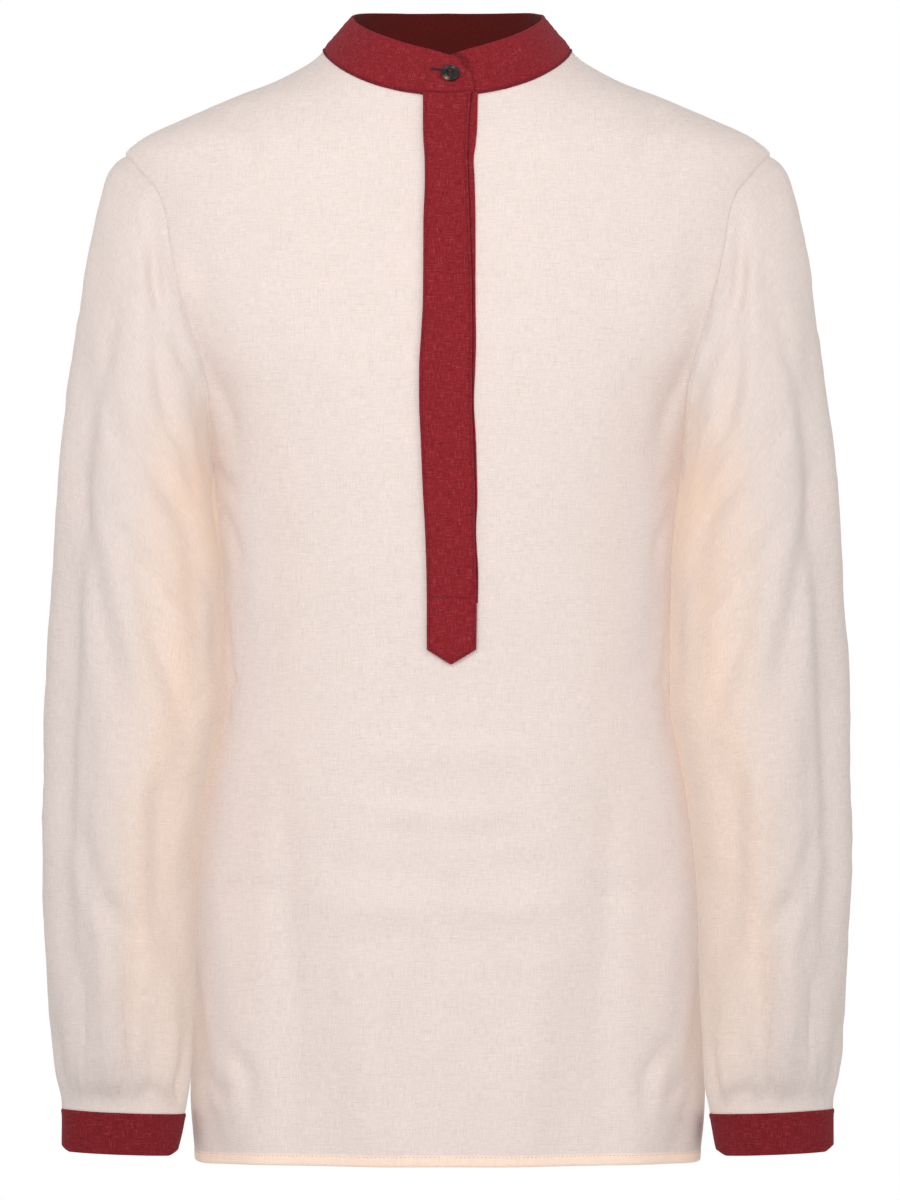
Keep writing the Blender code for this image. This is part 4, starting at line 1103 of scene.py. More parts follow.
def sleeveLift(angle, along, seed):
    degrees = np.degrees(halfTurned(angle))
    folds = foldLift(sleeveCut["folds"], degrees, along)
    reach = sleeveCut["pleatReach"]
    nearCuff = smooth((along - (1 - reach)) / reach * 1.4) * smooth((1.0 - along) / 0.02)
    wave = np.sin(sleeveCut["pleats"] * angle + 0.9 * np.sin(2 * angle))
    pleats = sleeveCut["pleatDepth"] * wave * nearCuff
    beside = smooth((math.pi - np.abs(np.radians(degrees))) / 0.7)
    held = smooth(along / 0.06) * smooth((1.0 - along) / 0.02)
    u, v = np.radians(degrees) * sleeveCut["round"], along * sleeveCut["long"]
    fine = creaseLift(u, v, inCloth(sleeveCut["creases"]))
    fine = fine * smooth(along / 0.012) * smooth((1.004 - along) / 0.012)
    short = 0
    for count, gatherSeed, *form in sleeveCut["gathers"]:
        short = short + creaseLift(u, v, inCloth(shortCreases(count, gatherSeed + seed, *form)))
    # the noise runs round without a seam because it is read on the ring itself
    ringX, ringY = np.cos(angle) * sleeveCut["round"], np.sin(angle) * sleeveCut["round"]
    uneven = 0
    for height, leanX, leanY, *sizes, noiseSeed in sleeveCut["uneven"]:
        noise = softNoise(ringX + leanX * v, ringY + leanY * v, *sizes, noiseSeed + seed)
        uneven = uneven + height * noise
    loose = smooth(along / 0.04) * smooth((1.0 - along) / 0.03)

    def calmer(lift, share):  # on the inner side, where the sleeve lies against the body
        return lift * (share + (1 - share) * beside)

    return calmer(folds * held, 0.25) + calmer(pleats, 0.4) + short + calmer(fine + uneven * loose, 0.35)


sleeveLight = {
    # pairs are degrees or shares along between which a part comes in
    "inner": (64, 126),
    "nearBody": (120, 160),
    "innerFade": (0.80, 1.0),
    "innerLeft": 0.45,  # what the fade leaves at the cuff
    "streaks": 0.25,
    # strength, degrees and shares along of painted warm light and glow: the part drawn in beside the body,
    # and the cloth below the armpit
    "pockets": [
        (0.55, (150, 180, 200, 225), (0.03, 0.09, 0.62, 0.86)),
        (0.62, (100, 145, 215, 235), (-0.06, 0.0, 0.24, 0.46)),
    ],
    "warmth": (0.50, 0.36),  # of the inner half and of the pockets, as painted warm light; the glow is painted light of the same parts
    "glow": (0.30, 0.70),
    # painted shade: the outer half is darker, where it turns from the light
    "outer": (70, 130),
    "outerShade": (0.10, 0.36),  # at the top, and below the second share along
    "outerAlong": (0.04, 0.44),
    # painted shade beside the armhole seam
    "seamShade": 0.38,
    "seamWidth": 0.014,
    "seamFrom": (62, 92),
}


def innerHalf(degrees, along):  # painted light: warm tint and glow where two layers of cloth shine through each other
    look, away = sleeveLight, np.abs(degrees)
    noise = softNoise(np.radians(degrees) * 0.05, along * 0.6, 0.008, 0.060, 51)
    streak = 1 - look["streaks"] + look["streaks"] * noise
    top = smooth((along - 0.02) / (0.25 - 0.17 * ramp(look["nearBody"], away)))
    fade = 1 - (1 - look["innerLeft"]) * ramp(look["innerFade"], along)
    return np.clip(ramp(look["inner"], away) * top * fade * streak, 0, 1)


# painted light where the sleeve is drawn in beside the body and below the armpit
def sleevePocket(degrees, along):
    turned = np.mod(degrees, 360)
    parts = []
    for strength, turns, reach in sleeveLight["pockets"]:
        parts.append(strength * between(turns, turned) * between(reach, along))
    return np.maximum(*parts)


# painted shade on the outer half and beside the armhole seam
def sleeveShade(degrees, along):
    look = sleeveLight
    outer = 1 - 0.85 * ramp(look["outer"], np.abs(degrees))
    high, low = look["outerShade"]
    besideSeam = bell(along / look["seamWidth"]) * ramp(look["seamFrom"], degrees)
    return (high + (low - high) * ramp(look["outerAlong"], along)) * outer + look["seamShade"] * besideSeam


def sleeveTints(degrees, along):  # what the cream look's tints and glow are asked for: painted light and painted shade
    parts = innerHalf(degrees, along), sleevePocket(degrees, along)
    tints = {"shade": sleeveShade(degrees, along)}
    for tone in ("warmth", "glow"):
        tints[tone] = np.clip(sum(share * part for share, part in zip(sleeveLight[tone], parts)), 0, 1)
    return tints


def onSide(side, outer, inner, cloth, tints):  # the wearer's right is the left mirrored
    if side > 0:
        return outer, inner, cloth, tints
    tints = {tone: values[:, ::-1] for tone, values in tints.items()}
    return mirrored(outer)[:, ::-1], mirrored(inner)[:, ::-1], cloth[:, ::-1], tints


def makeSleeve(side, name, node, seed):
    count = sleeveCut["columns"]
    angles = np.linspace(0, 2 * math.pi, count, endpoint=False)
    even = np.linspace(0.006, 0.994, sleeveCut["rows"])
    alongs = np.concatenate([[0, 0.0013, 0.0033], even, [0.9975, 1.0]])
    angle, along = np.meshgrid(angles, alongs)
    points = bareSleeve(angle, along)
    facing = gridNormals(points, closedAround=True)
    ringFacing = atArmhole(angles, armholeFacing)
    turned = (1 - smooth(along / 0.012))[..., None]
    facing = unit(facing * (1 - turned) + ringFacing[None] * turned)
    fromTop = distanceFrom(points, 0)
    lift = sleeveLift(angle, along, seed) + onSeam(fromTop)
    points = drawnBeside(points + facing * lift[..., None], angle, along)
    ending = smooth((along - sleeveCut["cuffFrom"]) / sleeveCut["cuffReach"])[..., None]
    atCuff = np.stack([cuffRing(angles, 0.0004, (row - 1) * sleeveCut["long"]) for row in alongs])
    points = points * (1 - ending) + atCuff * ending
    tuck = [cuffRing(angles, 0.0009, down) for down in (0.0004, 0.0030)]  # the end goes under the cuff
    points = np.concatenate([points, tuck])
    facing = gridNormals(points, closedAround=True)
    facing[0] = ringFacing
    outer, inner = points, points - facing * sleeveCut["thickness"]
    rows = np.concatenate([alongs, [1.003, 1.007]])
    angle, along = np.meshgrid(angles, rows)
    degrees = np.degrees(halfTurned(angle))
    cloth = np.stack([angle * sleeveCut["round"], -along * sleeveCut["long"]], axis=-1)
    tints = sleeveTints(degrees, along)
    grids = onSide(side, outer, inner, cloth, tints)
    sleeve = clothShell(name, *grids[:3], [creamLinen], grids[3], closedAround=True)
    finishPiece(sleeve, node, "cream_linen")


# Cuffs
cuffCut = {
    "top": -0.6625,
    "height": 0.0263,
    "tilt": math.radians(2.3),
    "topX": 0.2028,
    "lowX": 0.2050,
    "middleY": -0.040,
    "halfWidth": 0.0390,
    "halfDepth": 0.0285,
    "taper": 0.94,
    "thickness": 0.0018,
    "cornerRise": 0.0034,  # the lower corners are pressed round
    "cornerReach": 0.0055,
    "rolled": 0.0003,
    "uneven": 0.00035,
    "round": 0.040,
    "clothRound": 0.036,  # metres of cloth to a radian
    "dimmed": 0.8,  # painted shade: share of the look's warm tint, which darkens the red
    "columns": 132,
}


def cuffRing(angle, inset, down):  # inset from the outer face, and down from the top
    share = down / cuffCut["height"]
    scale = 1 + (cuffCut["taper"] - 1) * share
    middleX = cuffCut["topX"] + (cuffCut["lowX"] - cuffCut["topX"]) * share
    across = (cuffCut["halfWidth"] * scale - inset) * np.cos(angle)
    deep = (cuffCut["halfDepth"] * scale - inset) * np.sin(angle)
    x = middleX + across * math.cos(cuffCut["tilt"])
    height = cuffCut["top"] - down + across * math.sin(cuffCut["tilt"])
    return np.stack([x, cuffCut["middleY"] - deep, height], axis=-1)


def makeCuff(side, name, node, seed):
    angles = np.linspace(0, 2 * math.pi, cuffCut["columns"], endpoint=False)
    height, thickness = cuffCut["height"], cuffCut["thickness"]
    close = np.array([0, 0.0002, 0.0006, 0.0012])
    downs = np.concatenate([close, np.linspace(0.002, height - 0.002, 12), height - close[::-1]])
    points = np.stack([cuffRing(angles, thickness / 2, down) for down in downs])
    toSideEdge = cuffCut["halfWidth"] * (1 - np.abs(np.cos(angles)))
    rise = cuffCut["cornerRise"] * np.clip(1 - toSideEdge / cuffCut["cornerReach"], 0, 1) ** 1.3
    points[..., 2] += rise[None] * (downs / height)[:, None] ** 3
    facing = gridNormals(points, closedAround=True)
    angle, down = np.meshgrid(angles, downs)
    ringX, ringY = np.cos(angle) * cuffCut["round"], np.sin(angle) * cuffCut["round"]
    uneven = cuffCut["uneven"] * softNoise(ringX + down, ringY, 0.016, 0.016, 61 + seed)
    rolled = cuffCut["rolled"] * bell((down - 0.0016) / 0.0012)
    middle = points + facing * (uneven + rolled)[..., None]
    rounded = roundedEdge(np.minimum(down, height - down), thickness / 2)
    outer, inner = layers(middle, facing, np.full(down.shape, thickness), rounded)
    cloth = np.stack([angle * cuffCut["clothRound"], -down], axis=-1)
    # painted shade: the whole cuff is darkened
    grids = onSide(side, outer, inner, cloth, {"warmth": np.full(down.shape, cuffCut["dimmed"])})
    cuff = clothShell(name, *grids[:3], [redLinen, redLinenShadedInside], grids[3], closedAround=True)
    finishPiece(cuff, node, "red_linen")


for side, word, seed in ((1, "Left", 0), (-1, "Right", 5)):
    makeSleeve(side, "sleeve" + word, "sleeve_" + word.lower(), seed)
    makeCuff(side, "cuff" + word, "cuff_" + word.lower(), seed)
print("sleeves and cuffs made")

# Collar
collarCut = {
    "topHalfWidth": 0.0598,
    "topFront": 0.0610,
    "topBack": 0.0560,
    "lap": math.radians(12.5),
    "corner": 0.0125,
    "ease": math.radians(50),
    "over": 0.0028,  # how far the lapped end stands out
    "under": 0.0004,
    "overlapFoot": 0.0009,  # the foot reaches this far over the neckline
    # degrees from the centre front, height of the top edge
    "topEdge": [
        (-14.0, -0.0075),
        (0.0, -0.0035),
        (8.4, -0.0005),
        (31.0, 0.0064),
        (54.0, 0.0139),
        (75.0, 0.0205),
        (90.0, 0.0248),
        (130.0, 0.0290),
        (180.0, 0.0300),
    ],
    "thickness": 0.0018,
    "columns": 300,
    # creases of the lapped end: path of (metres from the end, metres up), width, depth
    "creases": [
        ([(0.0290, 0.0168), (0.0262, 0.0148), (0.0225, 0.0100)], 0.0010, -0.0008),
        ([(0.0130, 0.0190), (0.0116, 0.0120), (0.0108, 0.0040)], 0.0015, -0.0004),
        ([(0.0065, 0.0150), (0.0072, 0.0090), (0.0060, 0.0030)], 0.0016, -0.0004),
        ([(0.0330, 0.0200), (0.0300, 0.0130), (0.0270, 0.0060)], 0.0030, -0.0004),
        ([(0.0480, 0.0260), (0.0430, 0.0150), (0.0420, 0.0060)], 0.0040, -0.0004),
    ],
    # strength and width of the painted shadows just beyond the lapped end and at the foot
    "lapShadow": (0.5, 0.00045),
    "footShadow": (0.55, 0.0007),
    "wave": 0.00030,
    "seamDepth": 0.0004,
    "leastBase": 0.0007,
    "normalSteps": (0.01, -0.05),
    "endRound": 0.88,  # the neck's radius at the lapped end, as a share of its half width
    "clothRound": 0.070,
}


def collarSweep():  # the angle from one end of the collar to the other
    return 2 * math.pi + 2 * collarCut["lap"]


def collarHeight(turned):
    return np.linalg.norm(collarPoint(turned, turned * 0 + 1) - collarPoint(turned, turned * 0), axis=-1)


def lapOver(turned):  # how far the lapped end stands out from the neck
    return collarCut["over"] * (1 - smooth(turned / collarCut["ease"]))


def roundedCorner(toEnd):  # how much of the height the rounded corner takes off
    short = np.clip(collarCut["corner"] - toEnd, 0, collarCut["corner"])
    return collarCut["corner"] - np.sqrt(np.clip(collarCut["corner"] ** 2 - short**2, 0, None))


def collarPoint(turned, share):  # turned is the angle gone from the lapped end
    angle = collarCut["lap"] - turned
    wrapped = halfTurned(angle)
    around, height = neckRing(np.abs(wrapped))
    foot = bareBody(around * np.where(wrapped < 0, -1.0, 1.0), height)
    fromFront = np.minimum(turned - collarCut["lap"], 2 * math.pi + collarCut["lap"] - turned)
    deep = np.where(np.cos(wrapped) > 0, collarCut["topFront"], collarCut["topBack"])
    topHeight = fromRows(collarCut["topEdge"], 1, np.degrees(fromFront))
    top = np.stack([collarCut["topHalfWidth"] * np.sin(wrapped), -deep * np.cos(wrapped), topHeight], axis=-1)
    return foot + (top - foot) * share[..., None]


def collarFacing(turned, share):
    return surfaceNormal(collarPoint, turned, share, *collarCut["normalSteps"])


def makeCollar():
    sweep, thickness = collarSweep(), collarCut["thickness"]
    *edge, inside = np.array([0, 0.0003, 0.0009, 0.0020, 0.0032]) / bodyShape["neckHalfWidth"]
    turns = np.linspace(inside, sweep - inside, collarCut["columns"])
    turns = np.concatenate([edge, turns, sweep - np.array(edge[::-1])])
    ups = np.concatenate([[0, 0.012, 0.036, 0.075], np.linspace(0.12, 0.90, 12), [0.945, 0.975, 0.991, 1.0]])
    turned, up = np.meshgrid(turns, ups)
    tall = collarHeight(turned)
    radius = bodyShape["neckHalfWidth"] * collarCut["endRound"]
    toEnd = np.minimum(turned, sweep - turned) * radius
    cut = roundedCorner(toEnd)
    lowest = -collarCut["overlapFoot"] / tall
    share = lowest + (1 - cut / tall - lowest) * up
    under = collarCut["under"] * (1 - smooth((sweep - turned) / collarCut["ease"]))
    facing = collarFacing(turned, share)
    angle = collarCut["lap"] - turned
    wave = softNoise(np.cos(angle) * 0.06 + 0.2 * up, np.sin(angle) * 0.06, 0.012, 0.012, 71)
    wave = collarCut["wave"] * wave + creaseLift(turned * radius, share * tall, collarCut["creases"])
    seam = -collarCut["seamDepth"] * bell((share * tall - 0.0012) / 0.0007)
    base = np.maximum(lapOver(turned) + under, collarCut["leastBase"])
    lift = base + wave * smooth(toEnd / 0.004) + seam - thickness / 2
    middle = collarPoint(turned, share) + facing * lift[..., None]
    fromEdge = np.minimum.reduce([(share - lowest) * tall, (1 - cut / tall - share) * tall, toEnd])
    rounded = roundedEdge(fromEdge, thickness / 2)
    outer, inner = layers(middle, facing, np.full(turned.shape, thickness), rounded)
    # painted shadow on the end beneath, just beyond the edge of the lapped end, and a painted shadow line
    # along the foot
    pastEnd = (2 * math.pi - turned) * radius
    pastCorner = share * tall - (tall - roundedCorner(-pastEnd))
    beyond = np.clip(np.maximum(pastEnd, pastCorner), 0, None)
    (lapShade, lapWidth), (footShade, footWidth) = collarCut["lapShadow"], collarCut["footShadow"]
    shade = np.where(turned > math.pi, lapShade * bell(beyond / lapWidth), 0)
    shade = np.maximum(shade, footShade * bell(share * tall / footWidth))
    cloth = np.stack([turned * collarCut["clothRound"], share * tall], axis=-1)
    outer, inner, cloth, shade = (grid[:, ::-1] for grid in (outer, inner, cloth, shade))
    collar = clothShell("standCollar", outer, inner, cloth, [redLinen, redLinenShadedInside], {"shade": shade})
    finishPiece(collar, "collar", "red_linen")


makeCollar()
print("collar made")

# Placket
placketCut = {
    # height, left edge, right edge, right edge of the strip beneath
    "edges": [
        (-0.3735, -0.0127, 0.0177, 0.0180),
        (-0.3450, -0.0127, 0.0180, 0.0187),
        (-0.3275, -0.0129, 0.0177, 0.0190),
        (-0.3100, -0.0134, 0.0172, 0.0180),
        (-0.2996, -0.0138, 0.0168, 0.0176),
        (-0.2810, -0.0148, 0.0171, 0.0184),
        (-0.2625, -0.0157, 0.0165, 0.0181),
        (-0.2440, -0.0164, 0.0159, 0.0175),
        (-0.2195, -0.0174, 0.0152, 0.0163),
        (-0.2005, -0.0174, 0.0152, 0.0171),
        (-0.1820, -0.0164, 0.0154, 0.0176),
        (-0.1570, -0.0151, 0.0153, 0.0173),
        (-0.1080, -0.0148, 0.0138, 0.0173),
        (-0.0830, -0.0140, 0.0129, 0.0168),
        (-0.0700, -0.0141, 0.0124, 0.0162),
        (-0.0600, -0.0148, 0.0126, 0.0175),
        (-0.0490, -0.0152, 0.0131, 0.0184),
        (-0.0235, -0.0150, 0.0148, 0.0190),
    ],
    "thickness": 0.0011,
    "underLift": 0.0003,
    "topLift": 0.0017,
    "stitchInset": 0.0017,
    "crossLine": -0.3408,
    "belowCollar": 0.0003,
    # painted shadow beside the top strip's edge, and painted shade along the stitch lines
    "shadow": 0.0006,
    "seamShade": 0.12,
    "sewnDepth": 0.00022,
    "uneven": 0.00015,
    "meshWidth": 0.030,
    "rows": 120,
}


def stripShares():
    inset, width = placketCut["stitchInset"], placketCut["meshWidth"]
    close = np.array([0, 0.0002, 0.0006, 0.0011, inset, 0.0023, 0.0030]) / width
    return np.concatenate([close, np.linspace(0.0042 / width, 1 - 0.0042 / width, 14), 1 - close[::-1]])


def makeStrip(name, left, right, bottom, top, lift, seed, coveredTo=None):
    shares = stripShares()
    ups = np.concatenate([[0, 0.0006, 0.0018, 0.0040], np.linspace(0.0065, 1, placketCut["rows"])])
    rows = bottom[None, :] + ups[:, None] * (top - bottom)[None, :]
    leftEdge, rightEdge = left(rows), right(rows)
    around = leftEdge * (1 - shares) + rightEdge * shares
    fromEdge = np.minimum.reduce([around - leftEdge, rightEdge - around, rows - bottom[None, :]])
    fromSeam = fromEdge - placketCut["stitchInset"]
    thickness = placketCut["thickness"]
    sewn = -placketCut["sewnDepth"] * bell(fromSeam / 0.0006)
    uneven = placketCut["uneven"] * softNoise(around, rows, 0.011, 0.026, seed)
    base = body(around, rows, lift + thickness / 2)
    facing = gridNormals(base)
    middle = base + facing * (sewn + uneven * smooth(fromEdge / 0.003))[..., None]
    rounded = roundedEdge(fromEdge, thickness / 2)
    outer, inner = layers(middle, facing, np.full(rows.shape, thickness), rounded)
    # painted shade along the stitch line; on the strip beneath, a painted shadow beside the edge of the strip
    # on top
    shade = placketCut["seamShade"] * bell(fromSeam / 0.0005)
    if coveredTo:
        shade = bell(np.clip(around - coveredTo(rows), 0, None) / placketCut["shadow"])
    cloth = np.stack([around, rows], axis=-1)
    return clothShell(name, outer, inner, cloth, [redLinen], {"shade": shade})


def edgeOf(column):  # an edge of the placket, as a length around for each height
    return lambda height: fromRows(placketCut["edges"], column, height)


def belowCollar(left, right, shares):  # where each column of a strip meets the foot of the collar
    height = placketCut["edges"][-1][0]
    across = float(left(height)) * (1 - shares) + float(right(height)) * shares
    angle = np.abs(np.arcsin(across / bodyShape["neckHalfWidth"]))
    return neckRing(angle)[1] - placketCut["belowCollar"]


def makePlacket():
    shares = stripShares()
    topEdge = belowCollar(edgeOf(1), edgeOf(3), shares)
    under = makeStrip(
        "placketUnder", lambda h: edgeOf(1)(h) + 0.003, edgeOf(3), np.full(len(shares), bodyShape["slitEnd"]),
        topEdge, placketCut["underLift"], 81, coveredTo=edgeOf(2),
    )
    finishPiece(under, "placket_under", "red_linen")
    corner = placketFoot["corner"]
    left, right = float(edgeOf(1)(corner)), float(edgeOf(2)(corner))
    across = left * (1 - shares) + right * shares
    tipX = placketFoot["tipX"]
    toCorner = np.where(across < tipX, (across - left) / (tipX - left), (right - across) / (right - tipX))
    bottom = corner + (placketFoot["tip"] - corner) * toCorner
    top = makeStrip("placketTop", edgeOf(1), edgeOf(2), bottom, topEdge, placketCut["topLift"], 82)
    finishPiece(top, "placket_top", "red_linen")


makePlacket()
print("placket made")

# Button
buttonCut = {
    "radius": 0.0058,
    "thickness": 0.0024,
    "x": 0.0016,
    "height": -0.0168,
    "holeRadius": 0.00072,
    "holeSpacing": 0.0024,
    # share of the radius, share of the thickness
    "profile": [
        (0.0, 0.0), (0.60, 0.0), (0.80, 0.02), (0.92, 0.12), (0.985, 0.30), (1.0, 0.50), (0.985, 0.72),
        (0.945, 0.90), (0.89, 0.99), (0.84, 1.0), (0.79, 0.95), (0.74, 0.82), (0.69, 0.72), (0.62, 0.675),
        (0.45, 0.655), (0.25, 0.65), (0.0, 0.65),
    ],
    "sides": 72,
}
hornLook = {
    "dark": (0.006, 0.0055, 0.006, 1),
    "grey": (0.017, 0.015, 0.015, 1),
    "brown": (0.33, 0.20, 0.10, 1),
    "patchMiddle": (-0.0030, -0.0042, 0.0015),  # low on the wearer's right, as seen from the front
    "patchEdge": (0.0046, 0.0022),  # how far from its middle the brown ends, and where it is full
    "patchRagged": 0.004,
    "grainScale": 420.0,
    "roughness": (0.12, 0.22),
    "specular": 0.45,
    "bump": 0.00003,
}


def onCollar(x, height, lift):  # a place on the lapped end, facing out
    turned = np.array(collarCut["lap"] - math.asin(x / bodyShape["neckHalfWidth"]))
    levels = np.linspace(0, 1, 41)
    heights = collarPoint(np.full(41, turned), levels)[:, 2]
    share = np.array(np.interp(height, heights, levels))
    facing = Vector(collarFacing(turned, share))
    seat = Vector(collarPoint(turned, share)) + facing * (float(lapOver(turned)) + lift)
    upright = (Vector((0, 0, 1)) - facing * facing.z).normalized()
    return Matrix.Translation(seat) @ Matrix((upright.cross(facing), upright, facing)).transposed().to_4x4()


def buttonSeat():
    return onCollar(buttonCut["x"], buttonCut["height"], 0.0004)


def makeButton():
    radius, thick = buttonCut["radius"], buttonCut["thickness"]
    edit = bmesh.new()
    ring = [edit.verts.new((r * radius, 0, h * thick)) for r, h in buttonCut["profile"]]
    edges = [edit.edges.new(pair) for pair in zip(ring, ring[1:])]
    bmesh.ops.spin(
        edit, geom=ring + edges, cent=(0, 0, 0), axis=(0, 0, 1), angle=2 * math.pi,
        steps=buttonCut["sides"], use_merge=True,
    )
    bmesh.ops.remove_doubles(edit, verts=edit.verts, dist=1e-6)
    bmesh.ops.recalc_face_normals(edit, faces=edit.faces)
    mesh = meshFrom(edit, "collarButton")
    mesh.materials.append(hornFinish(hornLook))
    button = placed("collarButton", mesh)
    bpy.context.view_layer.objects.active = button
    for x in (-0.5, 0.5):
        for y in (-0.5, 0.5):
            drillHole(button, x * buttonCut["holeSpacing"], y * buttonCut["holeSpacing"])
    button.data.shade_smooth()
    button.data.set_sharp_from_angle(angle=math.radians(40))
    button.matrix_world = buttonSeat()
    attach(button, "root")
    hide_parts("button")


def drillHole(button, x, y):
    edit = bmesh.new()
    bmesh.ops.create_cone(
        edit, cap_ends=True, segments=20, radius1=buttonCut["holeRadius"], radius2=buttonCut["holeRadius"],
        depth=buttonCut["thickness"] * 4, matrix=Matrix.Translation((x, y, 0)),
    )
    cutter = linked("hole", meshFrom(edit, "hole"))
    cut = button.modifiers.new("hole", "BOOLEAN")
    cut.object = cutter
    cut.operation = "DIFFERENCE"
    with bpy.context.temp_override(object=button, active_object=button):
        bpy.ops.object.modifier_apply(modifier="hole")
    bpy.data.objects.remove(cutter)


def threadBars(name, bars, radius, finish, place):  # short rounded threads between pairs of points
    edit = bmesh.new()
    for start, end in bars:
        start, end = place @ Vector(start), place @ Vector(end)
        run = end - start
        turn = run.to_track_quat("Z", "Y").to_matrix().to_4x4()
        bmesh.ops.create_cone(
            edit, cap_ends=True, segments=10, radius1=radius, radius2=radius, depth=run.length,
            matrix=Matrix.Translation((start + end) / 2) @ turn,
        )
    sharp = [edge for edge in edit.edges if edge.calc_face_angle(0) > 1.2]
    bmesh.ops.bevel(edit, geom=sharp, offset=radius * 0.6, segments=2, affect="EDGES")
    mesh = meshFrom(edit, name)
    mesh.materials.append(finish)
    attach(placed(name, mesh), "root")


def makeButtonThread():
    half, level = buttonCut["holeSpacing"] / 2, 0.67 * buttonCut["thickness"]
    bars = []
    for y in (-half, half):
        for shift in (-0.00022, 0.00018):
            bars.append(((-half * 1.12, y + shift, level), (half * 1.12, y + shift * 0.6, level)))
    threadBars("buttonThread", bars, 0.00021, redThread, buttonSeat())


holeCut = {"x": -0.0080, "height": -0.0134, "halfLong": 0.0034, "halfWide": 0.00075, "lean": -0.0006}


def makeButtonhole():  # the slit beside the button, with its sewn edge
    long, wide, lean = holeCut["halfLong"], holeCut["halfWide"], holeCut["lean"]
    place = onCollar(holeCut["x"], holeCut["height"], 0.0)
    edge = [((-long, -lean + y, 0.0), (long, lean + y, 0.0)) for y in (-wide, wide)]
    edge += [((x, y - wide, 0.0), (x, y + wide, 0.0)) for x, y in ((-long, -lean), (long, lean))]
    threadBars("buttonholeEdge", edge, 0.00034, redThread, place)
    # painted shadow: a dark bar stands in for the shade inside the slit
    slit = [((-long * 0.9, -lean * 0.9, 0.0001), (long * 0.9, lean * 0.9, 0.0001))]
    threadBars("buttonholeSlit", slit, 0.00042, slitDark, place)


makeButton()
makeButtonThread()
makeButtonhole()
print("button and buttonhole made")

# Stitching: step from stitch to stitch, length and radius of the thread
stitchLook = {
    "hem": {"pitch": 0.0026, "thread": 0.0019, "radius": 0.00017, "seed": 91},
    "placket": {"pitch": 0.0023, "thread": 0.0017, "radius": 0.00015, "seed": 92},
    "cross": {"pitch": 0.0029, "thread": 0.0022, "radius": 0.00032, "seed": 94},
    "collar": {"pitch": 0.0023, "thread": 0.0017, "radius": 0.00016, "seed": 93},
}


def sewnLine(name, around, height, out, look, finish):
    around, height = np.asarray(around, float), np.asarray(height, float)
    return stitchRow(name, body(around, height, out), bodyNormal(around, height), look, finish)


def joined(name, rows):
    first = rows[0]
    chosen = {"selected_editable_objects": rows, "selected_objects": rows}
    with bpy.context.temp_override(active_object=first, object=first, **chosen):
        bpy.ops.object.join()
    first.name = name
    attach(first, "root")


def makeStitching():
    height = bodyShape["hem"] + bodyFolds["hemBand"] - 0.0007
    full = toBack(height) * 2
    run = np.linspace(0.004, full - 0.004, 420)
    around = np.where(run > full / 2, run - full, run)
    row = sewnLine("hemRow", around, np.full(420, height), 0.0001, stitchLook["hem"], creamThread)
    joined("hemStitches", [row])

    inset, lift = placketCut["stitchInset"], placketCut["topLift"] + placketCut["thickness"] + 0.0001
    levels = np.linspace(placketFoot["corner"] + 0.001, -0.0290, 260)
    leftEdge, rightEdge = edgeOf(1), edgeOf(2)
    cross = placketCut["crossLine"]
    tipX, tip, corner = placketFoot["tipX"], placketFoot["tip"], placketFoot["corner"]
    left, right = float(leftEdge(corner)) + inset, float(rightEdge(corner)) - inset
    footAround = np.concatenate([np.linspace(left, tipX, 20), np.linspace(tipX, right, 20)[1:]])
    foot = np.interp(footAround, [left, tipX, right], [corner + 0.0010, tip + 0.0021, corner + 0.0010])
    crossAround = np.linspace(float(leftEdge(cross)) + inset, float(rightEdge(cross)) - inset, 24)
    lines = [
        ("rowLeft", leftEdge(levels) + inset, levels, "placket"),
        ("rowRight", rightEdge(levels) - inset, levels, "placket"),
        ("rowFoot", footAround, foot, "placket"),
        ("rowCross", crossAround, cross - 0.03 * (crossAround - left), "cross"),
    ]
    rows = []
    for name, around, height, kind in lines:
        rows.append(sewnLine(name, around, height, lift, stitchLook[kind], redThread))
    joined("placketStitches", rows)

    turned = np.linspace(0.02, collarSweep() - 0.02, 500)
    share = 0.0006 / collarHeight(turned)
    over = np.maximum(lapOver(turned), collarCut["leastBase"])
    facing = collarFacing(turned, share)
    points = collarPoint(turned, share) + facing * (over - 0.00015)[:, None]
    shown = turned < collarSweep() - 2.2 * collarCut["lap"]
    row = stitchRow("collarRow", points[shown], facing[shown], stitchLook["collar"], redThread)
    joined("collarStitches", [row])


makeStitching()
print("stitching made")

# Studio
studio = {
    "floorHeight": -1.25,
    "floorRadius": 4.5,
    "floorColour": (0.86, 0.86, 0.86, 1),
    "skyBright": 1.0,
    "skyDim": 0.535,
    # place, size, power
    "softboxes": [
        ((-0.55, -1.9, 0.65), (0.9, 0.9), 16.0),
        ((2.6, -2.6, 0.6), (2.0, 2.0), 16.0),
    ],
    "cameraPlace": (0.0016, -6.0, -0.343),
    "lens": 285.7,
}


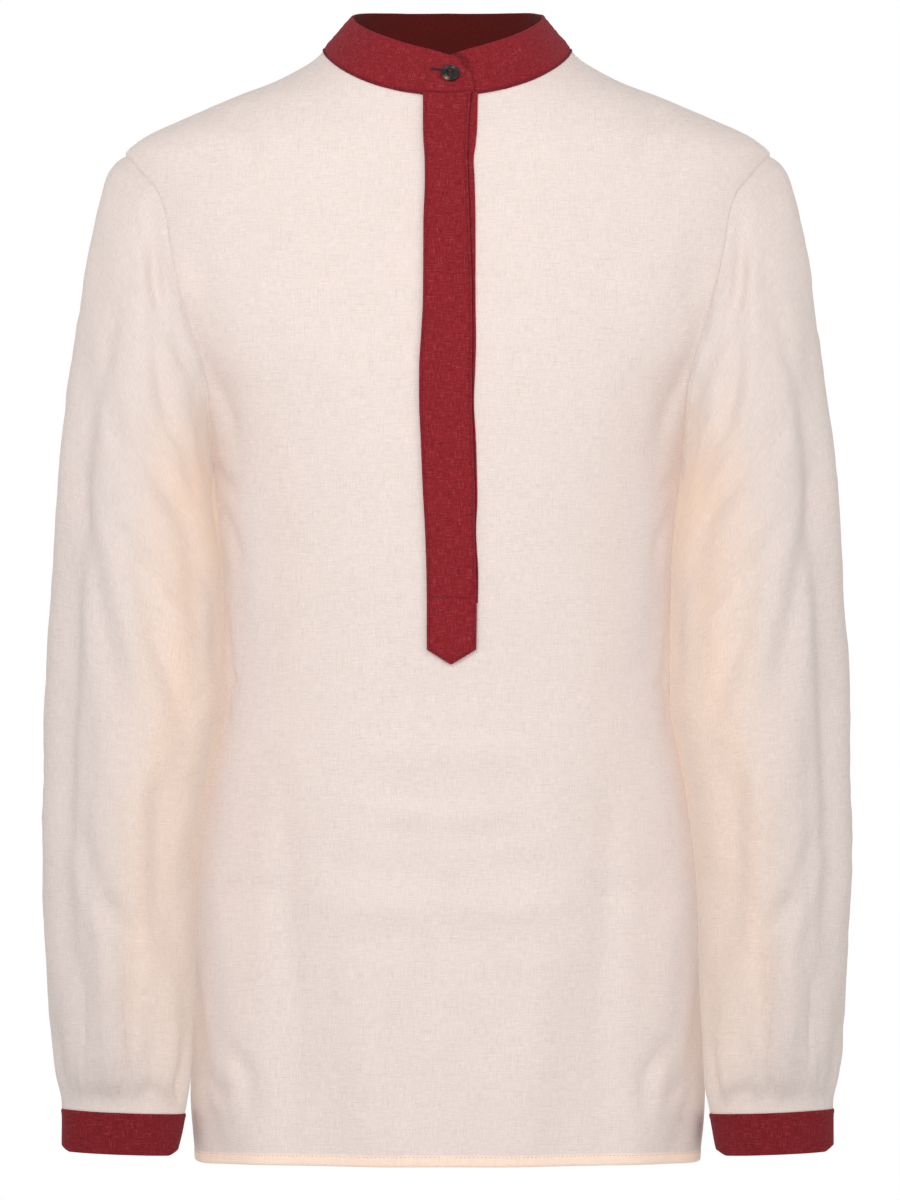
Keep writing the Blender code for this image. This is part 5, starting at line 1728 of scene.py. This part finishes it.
def makeFloor():
    edit = bmesh.new()
    bmesh.ops.create_circle(edit, cap_ends=True, segments=96, radius=studio["floorRadius"])
    mesh = meshFrom(edit, "studioFloor")
    finish, tree, shader = newFinish("paleFloor")
    place = addNode(tree, "ShaderNodeTexCoord").outputs["Object"]
    noise = addNode(tree, "ShaderNodeTexNoise", {"Vector": place, "Scale": 6.0, "Detail": 4.0}).outputs[0]
    pale = studio["floorColour"]
    colour = mixed(tree, "MIX", noise, pale, tuple(0.98 * part for part in pale[:3]) + (1,))
    tree.links.new(colour, shader.inputs["Base Color"])
    shader.inputs["Roughness"].default_value = 0.7
    mesh.materials.append(finish)
    floor = linked("studioFloor", mesh)
    floor.location.z = studio["floorHeight"]


def makeSky():  # a bright band round the horizon and a dimmer ceiling
    world = bpy.data.worlds.new("studioSky")
    world.use_nodes = True
    tree = world.node_tree
    direction = addNode(tree, "ShaderNodeTexCoord").outputs["Generated"]
    upward = addNode(tree, "ShaderNodeSeparateXYZ", {0: direction}).outputs[2]
    strength = ranged(tree, upward, 0.10, 0.45, studio["skyBright"], studio["skyDim"])
    tree.links.new(strength, tree.nodes["Background"].inputs["Strength"])
    tree.nodes["Background"].inputs["Color"].default_value = (1, 1, 1, 1)
    bpy.context.scene.world = world


def makeLight(name, place, target, size, power):
    data = bpy.data.lights.new(name, "AREA")
    data.shape = "RECTANGLE"
    data.size, data.size_y = size
    data.energy = power
    light = linked(name, data)
    light.location = place
    light.rotation_euler = (Vector(target) - Vector(place)).to_track_quat("-Z", "Y").to_euler()


def makeCamera():
    data = bpy.data.cameras.new("photoCamera")
    data.lens = studio["lens"]
    data.sensor_width = 36.0
    data.clip_end = 100.0
    camera = linked("photoCamera", data)
    camera.location = studio["cameraPlace"]
    camera.rotation_euler = (math.radians(90), 0, 0)
    bpy.context.scene.camera = camera


makeFloor()
makeSky()
for name, (place, size, power) in zip(("keySoftbox", "fillSoftbox"), studio["softboxes"]):
    makeLight(name, place, (0, 0, -0.35), size, power)
makeCamera()
bpy.context.scene.view_settings.view_transform = "Standard"
print("studio made")
